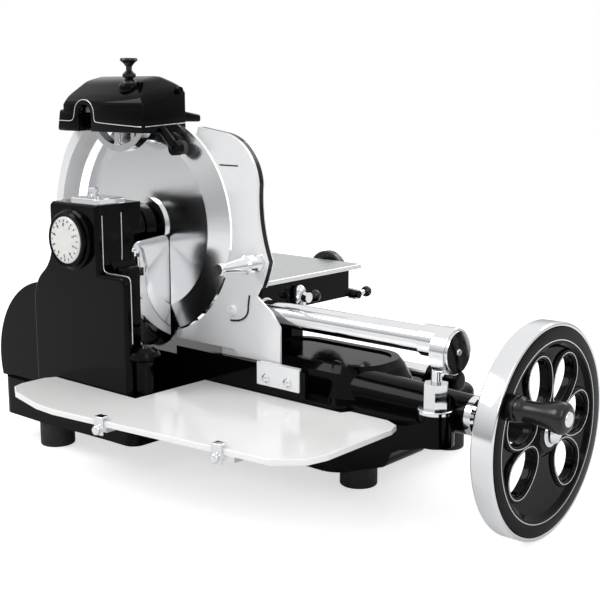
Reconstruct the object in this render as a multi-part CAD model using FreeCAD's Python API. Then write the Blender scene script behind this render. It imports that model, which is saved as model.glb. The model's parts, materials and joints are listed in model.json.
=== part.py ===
import FreeCAD, Part
import math
import os

# Hand cranked meat slicer with a flywheel, in millimetres.
# While the pieces are made, X runs along the guide tube towards the flywheel, Y runs from the
# slice side to the meat side, Z is up, the floor is Z = 0 and the blade turns about the line
# X = 0, Z = BLADE_AXIS_Z. At the end all pieces are shifted sideways by the same amount, so
# that the origin lies on the floor under the middle of the whole machine.

V = FreeCAD.Vector
X_DIR = V(1, 0, 0)
Y_DIR = V(0, 1, 0)
Z_DIR = V(0, 0, 1)

# ---------------------------------------------------------------- clearances
RUN_GAP = 0.05            # radial clearance of a shaft in its bush and of a sleeve on its rail
FREE_GAP = 0.3            # gap between faces that pass each other
OPEN_GAP = 3.0            # gap round moving pieces inside a casing

# ---------------------------------------------------------------- blade and its shaft
BLADE_R = 150.0
BLADE_AXIS_Z = 328.0
BLADE_BEVEL_INNER_R = 117.0
BLADE_DISH = 9.0
BLADE_SHEET = 3.6
BLADE_EDGE = 0.5
BLADE_BACK_LAND_R = 142.0
BLADE_SHAFT_R = 11.0
BLADE_PILOT_R = 16.0
BLADE_FLANGE_R = 38.0
BLADE_FLANGE_T = 4.0
BLADE_SCREW_CIRCLE_R = 27.0
BLADE_SCREW_R = 2.5
BLADE_SCREW_HEAD_R = 5.0
BLADE_SCREW_HEAD_T = 2.6
BLADE_SCREW_COUNT = 4

# ---------------------------------------------------------------- column
COLUMN_FRONT_Y = -132.0
COLUMN_CASE_Y = -110.0
COLUMN_COVER_Y = -76.0
COLUMN_BACK_Y = -70.0
COLUMN_LEFT_X = -62.0
COLUMN_RIGHT_X = 38.0
COLUMN_TOP_Z = 366.0
SHOULDER_RIGHT_X = 92.0
SHOULDER_Z = 277.0
SHOULDER_R = 12.0
COLUMN_FOOT_LEFT_X = -106.0
COLUMN_FOOT_Z = 95.0
COLUMN_EDGE_R = 5.0
CASE_RIGHT_X = 47.0
WING_T = 9.0
FRONT_CURVE_TOP_Z = 312.0
FRONT_CURVE_LOW_Z = 224.0
FRONT_CORNER_R = 8.0
GEAR_CASE_R = 122.0
CASE_ROUND_X = -104.0
CASE_ROUND_Z = 125.0
GEAR_CASE_X = -101.0
CASE_BLEND_R = 60.0
BEARING_BOSS_R = 29.0
BEARING_BOSS_END_Y = -40.0
HUB_RING_R = 31.0
HUB_RING_END_Y = -18.0
PILASTER_Y = -106.0
PILASTER_R = 14.0
PILASTER_CAP_R = 23.0
PILASTER_CAP_Z = 168.0
PILASTER_TOP_Z = 186.0
TOP_PLATE_T = 7.0
TOP_PLATE_INSET = 5.0
TOP_PLATE_W = 56.0
TOP_BLOCK_T = 16.0
TOP_BLOCK_Z = 332.0
TOP_BLOCK_LEFT_X = -22.0
OIL_CAP_X = 4.0
OIL_CAP_Y = -108.0
OIL_CAP_R = 6.5
OIL_CAP_H = 13.0

# ---------------------------------------------------------------- thickness dial
DIAL_X = -13.0
DIAL_Z = 318.0
DIAL_R = 31.0
DIAL_T = 5.0
DIAL_RIM_R = 37.5
DIAL_RIM_T = 12.0
DIAL_SPINDLE_R = 5.0
DIAL_SPINDLE_DEPTH = 9.0

# ---------------------------------------------------------------- gears
SPUR_MODULE = 3.0
DRIVE_TEETH = 55
IDLER_TEETH = 40
PINION_TEETH = 18
GEAR_FRONT_Y = -98.0
GEAR_WIDTH = 14.0
GEAR_WEB_T = 6.0
GEAR_RIM_T = 8.0
GEAR_HUB_R = 20.0
TOOTH_GAP = 0.5
BEVEL_MODULE = 2.5
BEVEL_TEETH = 18
BEVEL_FACE = 0.28
BEVEL_HUB_R = 15.0
BEVEL_HUB_T = 9.0
CROSS_SHAFT_R = 9.0
IDLER_PIN_R = 8.0
BUSH_WALL = 4.0
BLIND_BUSH_LEN = 8.0

# ---------------------------------------------------------------- main shaft and flywheel
SHAFT_Y = 60.0
SHAFT_Z = 132.0
MAIN_SHAFT_R = 10.0
MAIN_BUSH_LEN = 20.0
WHEEL_FACE_X = 594.0
WHEEL_RIM_W = 27.0
WHEEL_RIM_R = 126.0
WHEEL_FACE_R = 119.5
WHEEL_RING_INNER_R = 99.0
WHEEL_WEB_SET_BACK = 5.0
WHEEL_WEB_T = 15.0
WHEEL_HUB_R = 23.0
WHEEL_HUB_TAIL_R = 18.0
WHEEL_CAP_R = 12.5
WHEEL_CAP_T = 12.0
PETAL_PLACES = 7
PETAL_COUNT = 6
PETAL_FIRST = -44.5
PETAL_OUTER_R = 74.0
PETAL_OUTER_ROUND = 20.0
PETAL_INNER_R = 40.0
PETAL_INNER_ROUND = 7.0
CRANK_R = 99.0
CRANK_ANGLE = 151.0
HANDLE_LEN = 66.0
HANDLE_NECK_R = 11.5
HANDLE_BULB_R = 17.5
HANDLE_PIN_R = 5.0
HANDLE_COLLAR_R = 15.0
HANDLE_COLLAR_T = 8.0
HANDLE_CAP_R = 12.0

# ---------------------------------------------------------------- base
BASE_LEFT_X = -215.0
BASE_RIGHT_X = 348.0
BASE_FRONT_Y = -8.0
BASE_REAR_Y = 318.0
WING_FRONT_Y = -116.0
WING_RIGHT_X = 80.0
BASE_SKIRT_Z = 40.0
BASE_LOW_Z = 95.0
BASE_DECK_Z = 128.0
DECK_REAR_Y = 176.0
TUNNEL_TOP_Z = 150.0
TUNNEL_REAR_Y = 112.0
TUNNEL_LEFT_X = -160.0
SILL_TOP_Z = 162.0
SILL_T = 7.5
BASE_WALL = 8.0
BASE_CORNER_R = 34.0
SCALLOP_RISE = 5.0
POD_LEFT_X = 132.0
POD_RIGHT_X = 345.0
POD_FRONT_Y = 34.0
POD_REAR_Y = 152.0
POD_TOP_Z = 166.0
POD_FLARE = 30.0
POD_CORNER_R = 50.0
POD_EDGE = 9.0
POD_DISH_INSET = 13.0
POD_DISH_DEPTH = 2.5
ARM_FRONT_Y = 4.0
ARM_LOW_Z = 98.0
NECK_END_X = 494.0
NECK_R = 24.0
NECK_ROOT_R = 32.0
NECK_ROOT_X = 278.0
COLLAR_W = 12.0
COLLAR_R = 24.5
FOOT_R = 25.0
FOOT_RIGHT_X = 311.0
FOOT_LEFT_X = -131.0
FOOT_FRONT_LEFT_Y = -82.5
FOOT_FRONT_RIGHT_Y = 73.0
FOOT_REAR_Y = 282.0
FOOT_POST_R = 12.0
BASE_PLATE_T = 3.0

# ---------------------------------------------------------------- guide tube, pillar, rear rail
TUBE_Y = 27.0
TUBE_Z = 223.0
TUBE_R = 16.2
TUBE_WALL = 3.0
TUBE_LEFT_X = -158.0
TUBE_STAND_W = 18.0
PILLAR_X = 461.0
PILLAR_R = 6.5
PILLAR_HEX = 27.0
PILLAR_HEX_H = 31.0
PILLAR_SEAT_Z = 137.0
PILLAR_FLANGE_R = 22.0
PILLAR_FLANGE_T = 5.0
PILLAR_BOSS_R = 23.0
HEAD_NECK_W = 26.0
HEAD_NECK_WALL = 3.0
HEAD_W = 20.0
HEAD_R = 28.0
HEAD_DROP = 8.5
HEAD_DISC_T = 3.0
HEAD_DISC_R = 25.0
RAIL_Y = 212.0
RAIL_Z = 122.0
RAIL_R = 14.0
RAIL_LEFT_X = -170.0
RAIL_RIGHT_X = 362.0
RAIL_STAND_W = 14.0

# ---------------------------------------------------------------- carriage and meat table
CARRIAGE_LEFT_X = -52.0
CARRIAGE_RIGHT_X = 188.0
CARRIAGE_FRONT_Y = 16.0
CARRIAGE_REAR_Y = 206.0
CARRIAGE_TOP_Z = 257.0
CARRIAGE_SKIRT_Z = 219.0
CARRIAGE_WALL = 6.0
CARRIAGE_ROOF = 10.0
SLEEVE_WALL = 2.2
LEG_X = 62.0
LEG_W = 48.0
LEG_REACH = 8.0
TABLE_T = 6.0
TABLE_FRONT_Y = 18.5
TABLE_REAR_Y = 231.0
TABLE_OVERHANG = 3.0
RUNNER_X = 110.0
RUNNER_W = 44.0
RUNNER_H = 5.0
FEED_SCREW_R = 5.0
FEED_SCREW_Z = 241.0
FEED_SCREW_START_Y = 60.0
FEED_KNOB_R = 32.0
FEED_KNOB_NECK = 14.0
FEED_KNOB_T = 16.0
FEED_LUG_W = 16.0
LOCK_Y = 87.0
LOCK_Z = 236.0
LOCK_POST_R = 9.0
LOCK_STALK = 10.0
LOCK_BALL_R = 8.5
REAR_LEVER_X = 190.0
REAR_LEVER_Z = 221.0
REAR_STALK = 22.0
REAR_BALL_R = 8.0
REAR_HUB_W = 14.0
REAR_PIN_R = 3.0

# ---------------------------------------------------------------- slice tray
TRAY_T = 7.0
TRAY_Z = 123.0
TRAY_GAP = 2.0
TRAY_FRONT_Y = -235.0
TRAY_FRONT_X = 69.0
TRAY_SKEW = 0.113
TRAY_RIGHT_X = 437.0
TRAY_STEP_X = 347.0
TRAY_LEFT_X = -66.0
ARM_XS = (154.0, 346.0)
TRAY_ARM_W = 17.0
TRAY_ARM_T = 6.0
CLIP_DROP = 24.0
CLIP_T = 2.5
CLIP_LIP = 9.0

# ---------------------------------------------------------------- gauge plate
GAUGE_FRONT_Y = 0.5
GAUGE_T = 3.0
GAUGE_EDGE_T = 14.0
GAUGE_EDGE_Z = 258.5
GAUGE_CUT_GAP = 3.0
GAUGE_BOTTOM_Z = 163.0
GAUGE_FOOT_LEFT_X = 42.0
GAUGE_FOOT_Z = 171.0
GAUGE_FOOT_RIGHT_X = 237.0
GAUGE_LUG_T = 9.0
GAUGE_LUG_REACH = 13.0
GAUGE_LUG_RISE = 4.0
GAUGE_PIN_R = 3.0
GAUGE_PIN_Z = 156.5
GAUGE_PIN_XS = (142.0, 213.0)
BRACKET_LEFT_X = 206.0
BRACKET_RIGHT_X = 279.0
BRACKET_H = 30.0
BRACKET_T = 3.0
BRACKET_FLANGE_W = 5.0
BRACKET_SCREW_R = 6.0
GAUGE_KNOB_X = 199.0
GAUGE_KNOB_Z = 292.0
GAUGE_KNOB_LEN = 72.0
GAUGE_KNOB_R = 12.5
GAUGE_KNOB_TIP_R = 8.0

# ---------------------------------------------------------------- blade guard ring
RING_BLADE_GAP = 4.0
RING_SLOPE_W = 14.0
RING_FACE_W = 17.5
RING_FRONT_Y = -30.0
RING_BACK_Y = 5.0
RING_LIP_Y = -13.0
RING_WALL = 4.0
RING_START = 121.0
RING_END = 236.0
RING_STUD_R = 6.0
RING_STUD_ANGLES = (215.0, 231.0)

# ---------------------------------------------------------------- sharpener
SHARP_LEFT_X = -118.0
SHARP_RIGHT_X = 52.0
SHARP_FRONT_Y = -60.0
SHARP_REAR_Y = 16.0
SHARP_LAP = 22.0
SHARP_LEFT_H = 48.0
SHARP_RIGHT_H = 65.0
SHARP_CREST_X = -25.0
SHARP_CREST_H = 76.0
SHARP_WALL = 4.0
SHARP_CORNER_R = 13.0
SHARP_ROOM_H = 38.0
SHARP_BRIDGE_H = 26.0
SHARP_ARCH_X = -70.0
SHARP_ARCH_R = 15.5
SHARP_TAIL_W = 24.0
SHARP_TAIL_Y = 46.0
BRIDGE_T = 7.0
SUPPORT_END_GAP = 14.0
SUPPORT_FOOT_GAP = 12.0
BRIDGE_START_GAP = 42.0
BRIDGE_END_GAP = 8.0
SUPPORT_T = 7.0
KNOB_X = 5.0
KNOB_Y = -42.0
KNOB_H = 33.0
KNOB_R = 12.0
KNOB_STEM_R = 4.0
STRAP_Y = -46.0
STRAP_W = 14.0
STRAP_T = 9.0
STRAP_X = -9.0
STRAP_HALF = 53.0
STRAP_DROP = 26.0
STRAP_RISE = 29.0
STRAP_POST_R = 4.5
STRAP_POST_STEPS = (1.1, -2.8)
STONE_ANGLE = 55.0
STONE_ARM_Y = -27.0
STONE_R = 9.0
STONE_ARM_R = 6.0
STONE_T = 8.0

# ---------------------------------------------------------------- slice deflector
DEFLECTOR_TOP_X = 38.0
DEFLECTOR_LOW_X = 41.0
DEFLECTOR_TOP_Z = 318.0
DEFLECTOR_LOW_Z = 168.0
DEFLECTOR_ROUND = 14.0
DEFLECTOR_T = 1.6
DEFLECTOR_FRONT_Y = -66.0
DEFLECTOR_EDGE_Y = -10.0
DEFLECTOR_PIN_X = 35.6
DEFLECTOR_PIN_Y = -61.5
DEFLECTOR_PIN_Z = 272.0
DEFLECTOR_PIN_R = 2.5
DEFLECTOR_PIN_H = 24.0
DEFLECTOR_CLIP_H = 12.0
DEFLECTOR_CLIP_HALF = 4.5


# ================================================================ helpers
def box(x0, x1, y0, y1, z0, z1):
    return Part.makeBox(x1 - x0, y1 - y0, z1 - z0, V(x0, y0, z0))


def rod_x(x0, x1, y, z, r):
    return Part.makeCylinder(r, x1 - x0, V(x0, y, z), X_DIR)


def rod_y(x, y0, y1, z, r):
    return Part.makeCylinder(r, y1 - y0, V(x, y0, z), Y_DIR)


def rod_z(x, y, z0, z1, r):
    return Part.makeCylinder(r, z1 - z0, V(x, y, z0), Z_DIR)


def tube_x(x0, x1, y, z, outer_r, inner_r):
    return rod_x(x0, x1, y, z, outer_r).cut(rod_x(x0 - 1, x1 + 1, y, z, inner_r))


def tube_y(x, y0, y1, z, outer_r, inner_r):
    return rod_y(x, y0, y1, z, outer_r).cut(rod_y(x, y0 - 1, y1 + 1, z, inner_r))


def face_of(points):
    return Part.Face(Part.makePolygon(points + [points[0]]))


def line(a, b):
    return Part.LineSegment(a, b).toShape()


def arc(a, middle, b):
    return Part.Arc(a, middle, b).toShape()


def rounded_wire(x0, x1, y0, y1, z, r):
    """Closed rectangle with round corners, level at height z."""
    k = r * (1.0 - math.sqrt(0.5))
    edges = [line(V(x0 + r, y0, z), V(x1 - r, y0, z)),
             arc(V(x1 - r, y0, z), V(x1 - k, y0 + k, z), V(x1, y0 + r, z)),
             line(V(x1, y0 + r, z), V(x1, y1 - r, z)),
             arc(V(x1, y1 - r, z), V(x1 - k, y1 - k, z), V(x1 - r, y1, z)),
             line(V(x1 - r, y1, z), V(x0 + r, y1, z)),
             arc(V(x0 + r, y1, z), V(x0 + k, y1 - k, z), V(x0, y1 - r, z)),
             line(V(x0, y1 - r, z), V(x0, y0 + r, z)),
             arc(V(x0, y0 + r, z), V(x0 + k, y0 + k, z), V(x0 + r, y0, z))]
    return Part.Wire(edges)


def rounded_block(x0, x1, y0, y1, z0, z1, r):
    return Part.Face(rounded_wire(x0, x1, y0, y1, z0, r)).extrude(V(0, 0, z1 - z0))


def round_edges(solid, r, chosen):
    return solid.makeFillet(r, [e for e in solid.Edges if chosen(e)])


def at_height(z):
    return lambda e: abs(e.BoundBox.ZMin - z) < 0.01 and abs(e.BoundBox.ZMax - z) < 0.01


def at_depth(y):
    return lambda e: abs(e.BoundBox.YMin - y) < 0.01 and abs(e.BoundBox.YMax - y) < 0.01


def turned_y(profile, x, z):
    """Turn (radius, y) points about the line along Y through (x, z)."""
    face = face_of([V(x + r, y, z) for r, y in profile])
    return face.revolve(V(x, 0, z), Y_DIR, 360.0)


def turned_x(profile, y, z):
    """Turn (x, radius) points about the line along X through (y, z)."""
    face = face_of([V(x, y, z + r) for x, r in profile])
    return face.revolve(V(0, y, z), X_DIR, 360.0)


def turned_z(profile, x, y):
    """Turn (radius, z) points about the line along Z through (x, y)."""
    face = face_of([V(x + r, y, z) for r, z in profile])
    return face.revolve(V(x, y, 0), Z_DIR, 360.0)


def on_circle(x, y, z, r, degrees):
    """Point on a circle about a line along Y, its angle counted from +X towards +Z."""
    a = math.radians(degrees)
    return V(x + r * math.cos(a), y, z + r * math.sin(a))


def tooth_outline(teeth, module):
    """(radius, angle) corners of a gear's outline, four to each tooth, with 20 degree flanks."""
    pitch_r = teeth * module / 2.0
    half = math.pi / (2.0 * teeth) - TOOTH_GAP / (2.0 * pitch_r)
    slope = math.tan(math.radians(20.0))
    tip_half = half - module * slope / pitch_r
    root_half = half + 1.25 * module * slope / pitch_r
    corners = []
    for i in range(teeth):
        middle = 2.0 * math.pi * i / teeth
        corners += [(pitch_r - 1.25 * module, middle - root_half), (pitch_r + module, middle - tip_half)]
        corners += [(pitch_r + module, middle + tip_half), (pitch_r - 1.25 * module, middle + root_half)]
    return corners


def spur_gear(x, z, teeth, turn, bore_r, web=False):
    """Spur gear about a line along Y. turn is the angle of its first tooth, +X towards +Z."""
    start = math.radians(turn)
    points = []
    for r, a in tooth_outline(teeth, SPUR_MODULE):
        points.append(V(x + r * math.cos(a + start), GEAR_FRONT_Y, z + r * math.sin(a + start)))
    gear = face_of(points).extrude(V(0, GEAR_WIDTH, 0))
    if web:
        root_r = teeth * SPUR_MODULE / 2.0 - 1.25 * SPUR_MODULE
        side = (GEAR_WIDTH - GEAR_WEB_T) / 2.0
        front = tube_y(x, GEAR_FRONT_Y - 1, GEAR_FRONT_Y + side, z, root_r - GEAR_RIM_T, GEAR_HUB_R)
        back = tube_y(x, GEAR_FRONT_Y + GEAR_WIDTH - side, GEAR_FRONT_Y + GEAR_WIDTH + 1, z,
                      root_r - GEAR_RIM_T, GEAR_HUB_R)
        gear = gear.cut([front, back])
    return gear.cut(rod_y(x, GEAR_FRONT_Y - 1, GEAR_FRONT_Y + GEAR_WIDTH + 1, z, bore_r))


# ================================================================ places that follow
DRIVE_R = DRIVE_TEETH * SPUR_MODULE / 2.0
IDLER_R = IDLER_TEETH * SPUR_MODULE / 2.0
PINION_R = PINION_TEETH * SPUR_MODULE / 2.0
BEVEL_R = BEVEL_TEETH * BEVEL_MODULE / 2.0
GEAR_BACK_Y = GEAR_FRONT_Y + GEAR_WIDTH
GEAR_ROOM_Y = GEAR_FRONT_Y - OPEN_GAP
BLADE_SEAT_Y = -BLADE_DISH
BLADE_BACK_Y = -BLADE_DISH + BLADE_SHEET
WHEEL_BACK_X = WHEEL_FACE_X - WHEEL_RIM_W
PETAL_STEP = 360.0 / PETAL_PLACES
HANDLE_Y = SHAFT_Y + CRANK_R * math.cos(math.radians(CRANK_ANGLE))
HANDLE_Z = SHAFT_Z + CRANK_R * math.sin(math.radians(CRANK_ANGLE))
HANDLE_START_X = WHEEL_FACE_X + HANDLE_COLLAR_T + FREE_GAP
HANDLE_END_X = WHEEL_FACE_X + HANDLE_LEN
HEAD_START_X = PILLAR_X + PILLAR_R + 1.0
BASE_PLATE_Z = BASE_SKIRT_Z + 2.0
HEAD_Z = TUBE_Z - HEAD_DROP
SLEEVE_R = TUBE_R + RUN_GAP + SLEEVE_WALL
TABLE_TOP_Z = CARRIAGE_TOP_Z + FREE_GAP + TABLE_T
RING_INNER_R = BLADE_R + RING_BLADE_GAP
RING_FACE_R = RING_INNER_R + RING_SLOPE_W
RING_OUTER_R = RING_FACE_R + RING_FACE_W
SHARP_BOTTOM_Z = BLADE_AXIS_Z + BLADE_R - SHARP_LAP
SHARP_LEFT_Z = SHARP_BOTTOM_Z + SHARP_LEFT_H
SHARP_RIGHT_Z = SHARP_BOTTOM_Z + SHARP_RIGHT_H
SHARP_TOP_Z = SHARP_BOTTOM_Z + SHARP_CREST_H
SHARP_ROOM_Z = SHARP_BOTTOM_Z + SHARP_ROOM_H
SHARP_ARCH_Z = SHARP_BOTTOM_Z + SHARP_BRIDGE_H
BRIDGE_Z = SHARP_BOTTOM_Z + SHARP_BRIDGE_H
KNOB_FOOT_Z = SHARP_RIGHT_Z
STRAP_LOW_Z = SHARP_BOTTOM_Z - STRAP_DROP
GAUGE_CUT_R = BLADE_R + GAUGE_CUT_GAP
GAUGE_BACK_Y = GAUGE_FRONT_Y + GAUGE_T
GAUGE_EDGE_Y = GAUGE_FRONT_Y + GAUGE_EDGE_T


def idler_place():
    """The idler sits where it meshes with both the drive gear and the blade pinion."""
    near = DRIVE_R + IDLER_R
    far = IDLER_R + PINION_R
    dx = -GEAR_CASE_X
    dz = BLADE_AXIS_Z - SHAFT_Z
    d = math.hypot(dx, dz)
    along = (near * near - far * far + d * d) / (2.0 * d)
    aside = math.sqrt(max(near * near - along * along, 0.0))
    x = GEAR_CASE_X + along * dx / d + aside * dz / d
    z = SHAFT_Z + along * dz / d - aside * dx / d
    return x, z


IDLER_X, IDLER_Z = idler_place()


def angle_between(x0, z0, x1, z1):
    return math.degrees(math.atan2(z1 - z0, x1 - x0))


def meshed_turn(toward, teeth):
    """Turn that points the middle of a gap in the direction toward."""
    return toward + 180.0 / teeth


def foot_places():
    return [(FOOT_LEFT_X, FOOT_FRONT_LEFT_Y), (FOOT_RIGHT_X, FOOT_FRONT_RIGHT_Y),
            (FOOT_LEFT_X, FOOT_REAR_Y), (FOOT_RIGHT_X, FOOT_REAR_Y)]


# ================================================================ base
def base_block(inset, z0, z1):
    return rounded_block(BASE_LEFT_X + inset, BASE_RIGHT_X - inset, BASE_FRONT_Y + inset,
                         BASE_REAR_Y - inset, z0, z1, BASE_CORNER_R - inset)


def wing_block(inset, z0, z1):
    return rounded_block(BASE_LEFT_X + inset, WING_RIGHT_X - inset, WING_FRONT_Y + inset,
                         BASE_FRONT_Y + 60.0 - inset, z0, z1, BASE_CORNER_R / 2.0 - inset / 2.0)


def pod():
    """Dished pod over the inner mechanism, a rounded rectangle that flares towards its foot."""
    wires = []
    for z, grow in ((BASE_LOW_Z, POD_FLARE), (POD_TOP_Z - POD_EDGE, 4.0), (POD_TOP_Z, -2.0)):
        wires.append(rounded_wire(POD_LEFT_X - grow, POD_RIGHT_X + grow, POD_FRONT_Y - grow,
                                  POD_REAR_Y + grow, z, POD_CORNER_R + grow / 2.0))
    body = Part.makeLoft(wires, True, True)
    inset = POD_DISH_INSET
    dish = rounded_block(POD_LEFT_X + inset, POD_RIGHT_X - inset, POD_FRONT_Y + inset,
                         POD_REAR_Y - inset, POD_TOP_Z - POD_DISH_DEPTH, POD_TOP_Z + 1.0,
                         POD_CORNER_R - inset)
    return body.cut(dish)


def overhang():
    """Right end of the base, its underside an S curve that rises to the pillar."""
    y = ARM_FRONT_Y
    root_x = BASE_RIGHT_X - 60.0
    belly_x = BASE_RIGHT_X + 50.0
    belly_z = BASE_SKIRT_Z + 20.0
    turn = V(belly_x + 12.0, y, belly_z + 14.0)
    top = V(belly_x + 32.0, y, belly_z + 29.0)
    points = [V(root_x, y, BASE_SKIRT_Z), V(BASE_RIGHT_X, y, BASE_SKIRT_Z + 3.0), V(belly_x, y, belly_z), turn,
              top, V(PILLAR_X, y, ARM_LOW_Z), V(PILLAR_X, y, BASE_DECK_Z), V(root_x, y, BASE_DECK_Z)]
    edges = [line(points[0], points[1]), line(points[1], points[2]),
             arc(points[2], V(belly_x + 8.5, y, belly_z + 5.0), turn),
             arc(turn, V(turn.x + 7.0, y, turn.z + 9.5), top),
             line(top, points[5]), line(points[5], points[6]), line(points[6], points[7]),
             line(points[7], points[0])]
    return Part.Face(Part.Wire(edges)).extrude(V(0, SHAFT_Y + NECK_R - ARM_FRONT_Y, 0))


def base_casting():
    low = round_edges(base_block(0.0, BASE_SKIRT_Z, BASE_LOW_Z), 12.0, at_height(BASE_LOW_Z))
    wing = wing_block(0.0, BASE_SKIRT_Z, COLUMN_FOOT_Z)
    deck = rounded_block(BASE_LEFT_X + 40.0, BASE_RIGHT_X, BASE_FRONT_Y, DECK_REAR_Y,
                         BASE_LOW_Z - 30.0, BASE_DECK_Z, 20.0)
    tunnel = rounded_block(TUNNEL_LEFT_X, POD_LEFT_X + 40.0, BASE_FRONT_Y, TUNNEL_REAR_Y,
                           BASE_LOW_Z - 30.0, TUNNEL_TOP_Z, 12.0)
    sill = box(WING_RIGHT_X - 30.0, BRACKET_RIGHT_X + 8.0, BASE_FRONT_Y, BASE_FRONT_Y + SILL_T,
               BASE_LOW_Z, SILL_TOP_Z)
    bevel_end = GEAR_CASE_X + BEVEL_R + BEVEL_HUB_T + OPEN_GAP
    bevel_dome = rod_y(GEAR_CASE_X, 14.0, SHAFT_Y + 44.0, SHAFT_Z, BEVEL_R + 15.0)
    bevel_drum = rod_x(GEAR_CASE_X - 20.0, bevel_end + 8.0, SHAFT_Y, SHAFT_Z, BEVEL_R + 12.0)
    neck = Part.makeCone(NECK_ROOT_R, NECK_R, NECK_END_X - NECK_ROOT_X,
                         V(NECK_ROOT_X, SHAFT_Y, SHAFT_Z), X_DIR)
    boss = rod_z(PILLAR_X, TUBE_Y, ARM_LOW_Z, PILLAR_SEAT_Z, PILLAR_BOSS_R)
    seat_room = rod_z(PILLAR_X, TUBE_Y, PILLAR_SEAT_Z, PILLAR_SEAT_Z + 60.0, PILLAR_FLANGE_R + 1.0)
    neck = neck.cut(seat_room)
    body = low.fuse([wing, deck, tunnel, sill, bevel_dome, bevel_drum, pod(), overhang(), neck, boss])

    # Hollow from below, and bored for the main shaft, the cross shaft and the bevel gears.
    hollow_top = SHAFT_Z - MAIN_SHAFT_R - 2.0 * BUSH_WALL
    hollow = base_block(BASE_WALL, BASE_SKIRT_Z - 1.0, BASE_LOW_Z - BASE_WALL)
    wing_hollow = wing_block(BASE_WALL, BASE_SKIRT_Z - 1.0, COLUMN_FOOT_Z - BASE_WALL)
    deck_hollow = box(TUNNEL_LEFT_X + BASE_WALL, BASE_RIGHT_X - BASE_WALL, BASE_FRONT_Y + BASE_WALL + 6.0,
                      DECK_REAR_Y - BASE_WALL, BASE_SKIRT_Z, hollow_top)
    shaft_way = rod_x(GEAR_CASE_X, NECK_END_X + 1.0, SHAFT_Y, SHAFT_Z, MAIN_SHAFT_R + OPEN_GAP)
    bevel_room = rod_y(GEAR_CASE_X, SHAFT_Y - BEVEL_R - BEVEL_HUB_T - OPEN_GAP,
                       SHAFT_Y + BEVEL_R + 2.0 * OPEN_GAP, SHAFT_Z, BEVEL_R + 9.0)
    main_room = rod_x(GEAR_CASE_X, bevel_end, SHAFT_Y, SHAFT_Z, BEVEL_R + 6.0)
    gear_slot = rod_y(GEAR_CASE_X, GEAR_ROOM_Y, COLUMN_COVER_Y, SHAFT_Z, DRIVE_R + SPUR_MODULE + OPEN_GAP)
    bush_seats = [rod_x(x, x + MAIN_BUSH_LEN, SHAFT_Y, SHAFT_Z, MAIN_SHAFT_R + BUSH_WALL)
                  for x in main_bush_places()]
    cross_way = rod_y(GEAR_CASE_X, BASE_FRONT_Y - 1.0, SHAFT_Y, SHAFT_Z, CROSS_SHAFT_R + BUSH_WALL)
    pillar_hole = rod_z(PILLAR_X, TUBE_Y, PILLAR_SEAT_Z - 20.0, PILLAR_SEAT_Z + 1.0, PILLAR_R)
    pin_holes = [rod_y(x, BASE_FRONT_Y + 3.0, BASE_FRONT_Y + SILL_T + 1.0, GAUGE_PIN_Z, GAUGE_PIN_R)
                 for x in GAUGE_PIN_XS]
    body = body.cut([hollow, wing_hollow, deck_hollow, shaft_way, bevel_room, main_room, gear_slot,
                     cross_way, pillar_hole]
                    + bush_seats + pin_holes)
    body = body.cut(scallops())
    posts = []
    for x, y in foot_places()[1:]:
        top = BASE_DECK_Z - BASE_WALL if y < DECK_REAR_Y else BASE_LOW_Z - BASE_WALL / 2.0
        posts.append(rod_z(x, y, BASE_PLATE_Z + BASE_PLATE_T, top, FOOT_POST_R))
    return body.fuse(posts + [tube_stand()] + rear_rail_stands())


def main_bush_places():
    bevel_end = GEAR_CASE_X + BEVEL_R + BEVEL_HUB_T + OPEN_GAP
    return [bevel_end, NECK_END_X - MAIN_BUSH_LEN]


def scallops():
    """Long shallow arcs that lift the lower edge between the feet."""
    cuts = []
    span = FOOT_RIGHT_X - FOOT_LEFT_X - 2.6 * FOOT_R
    r = (span * span / 4.0 + SCALLOP_RISE ** 2) / (2.0 * SCALLOP_RISE)
    middle = (FOOT_RIGHT_X + FOOT_LEFT_X) / 2.0
    cuts.append(rod_y(middle, WING_FRONT_Y - 20.0, BASE_REAR_Y + 20.0,
                      BASE_SKIRT_Z + SCALLOP_RISE - r, r))
    depth = FOOT_REAR_Y - FOOT_FRONT_RIGHT_Y - 2.6 * FOOT_R
    r = (depth * depth / 4.0 + SCALLOP_RISE ** 2) / (2.0 * SCALLOP_RISE)
    middle = (FOOT_REAR_Y + FOOT_FRONT_RIGHT_Y) / 2.0
    cuts.append(rod_x(BASE_LEFT_X - 20.0, BASE_RIGHT_X + 20.0, middle,
                      BASE_SKIRT_Z + SCALLOP_RISE - r, r))
    return cuts


def base_plate():
    """Sheet that closes the base from below and carries the feet."""
    inset = BASE_WALL + FREE_GAP
    plate = base_block(inset, BASE_PLATE_Z, BASE_PLATE_Z + BASE_PLATE_T)
    return plate.fuse(wing_block(inset, BASE_PLATE_Z, BASE_PLATE_Z + BASE_PLATE_T)).removeSplitter()


def rubber_feet():
    feet = [round_edges(rod_z(x, y, 0.0, BASE_PLATE_Z, FOOT_R), 2.5, at_height(0.0))
            for x, y in foot_places()]
    return Part.makeCompound(feet)


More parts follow.
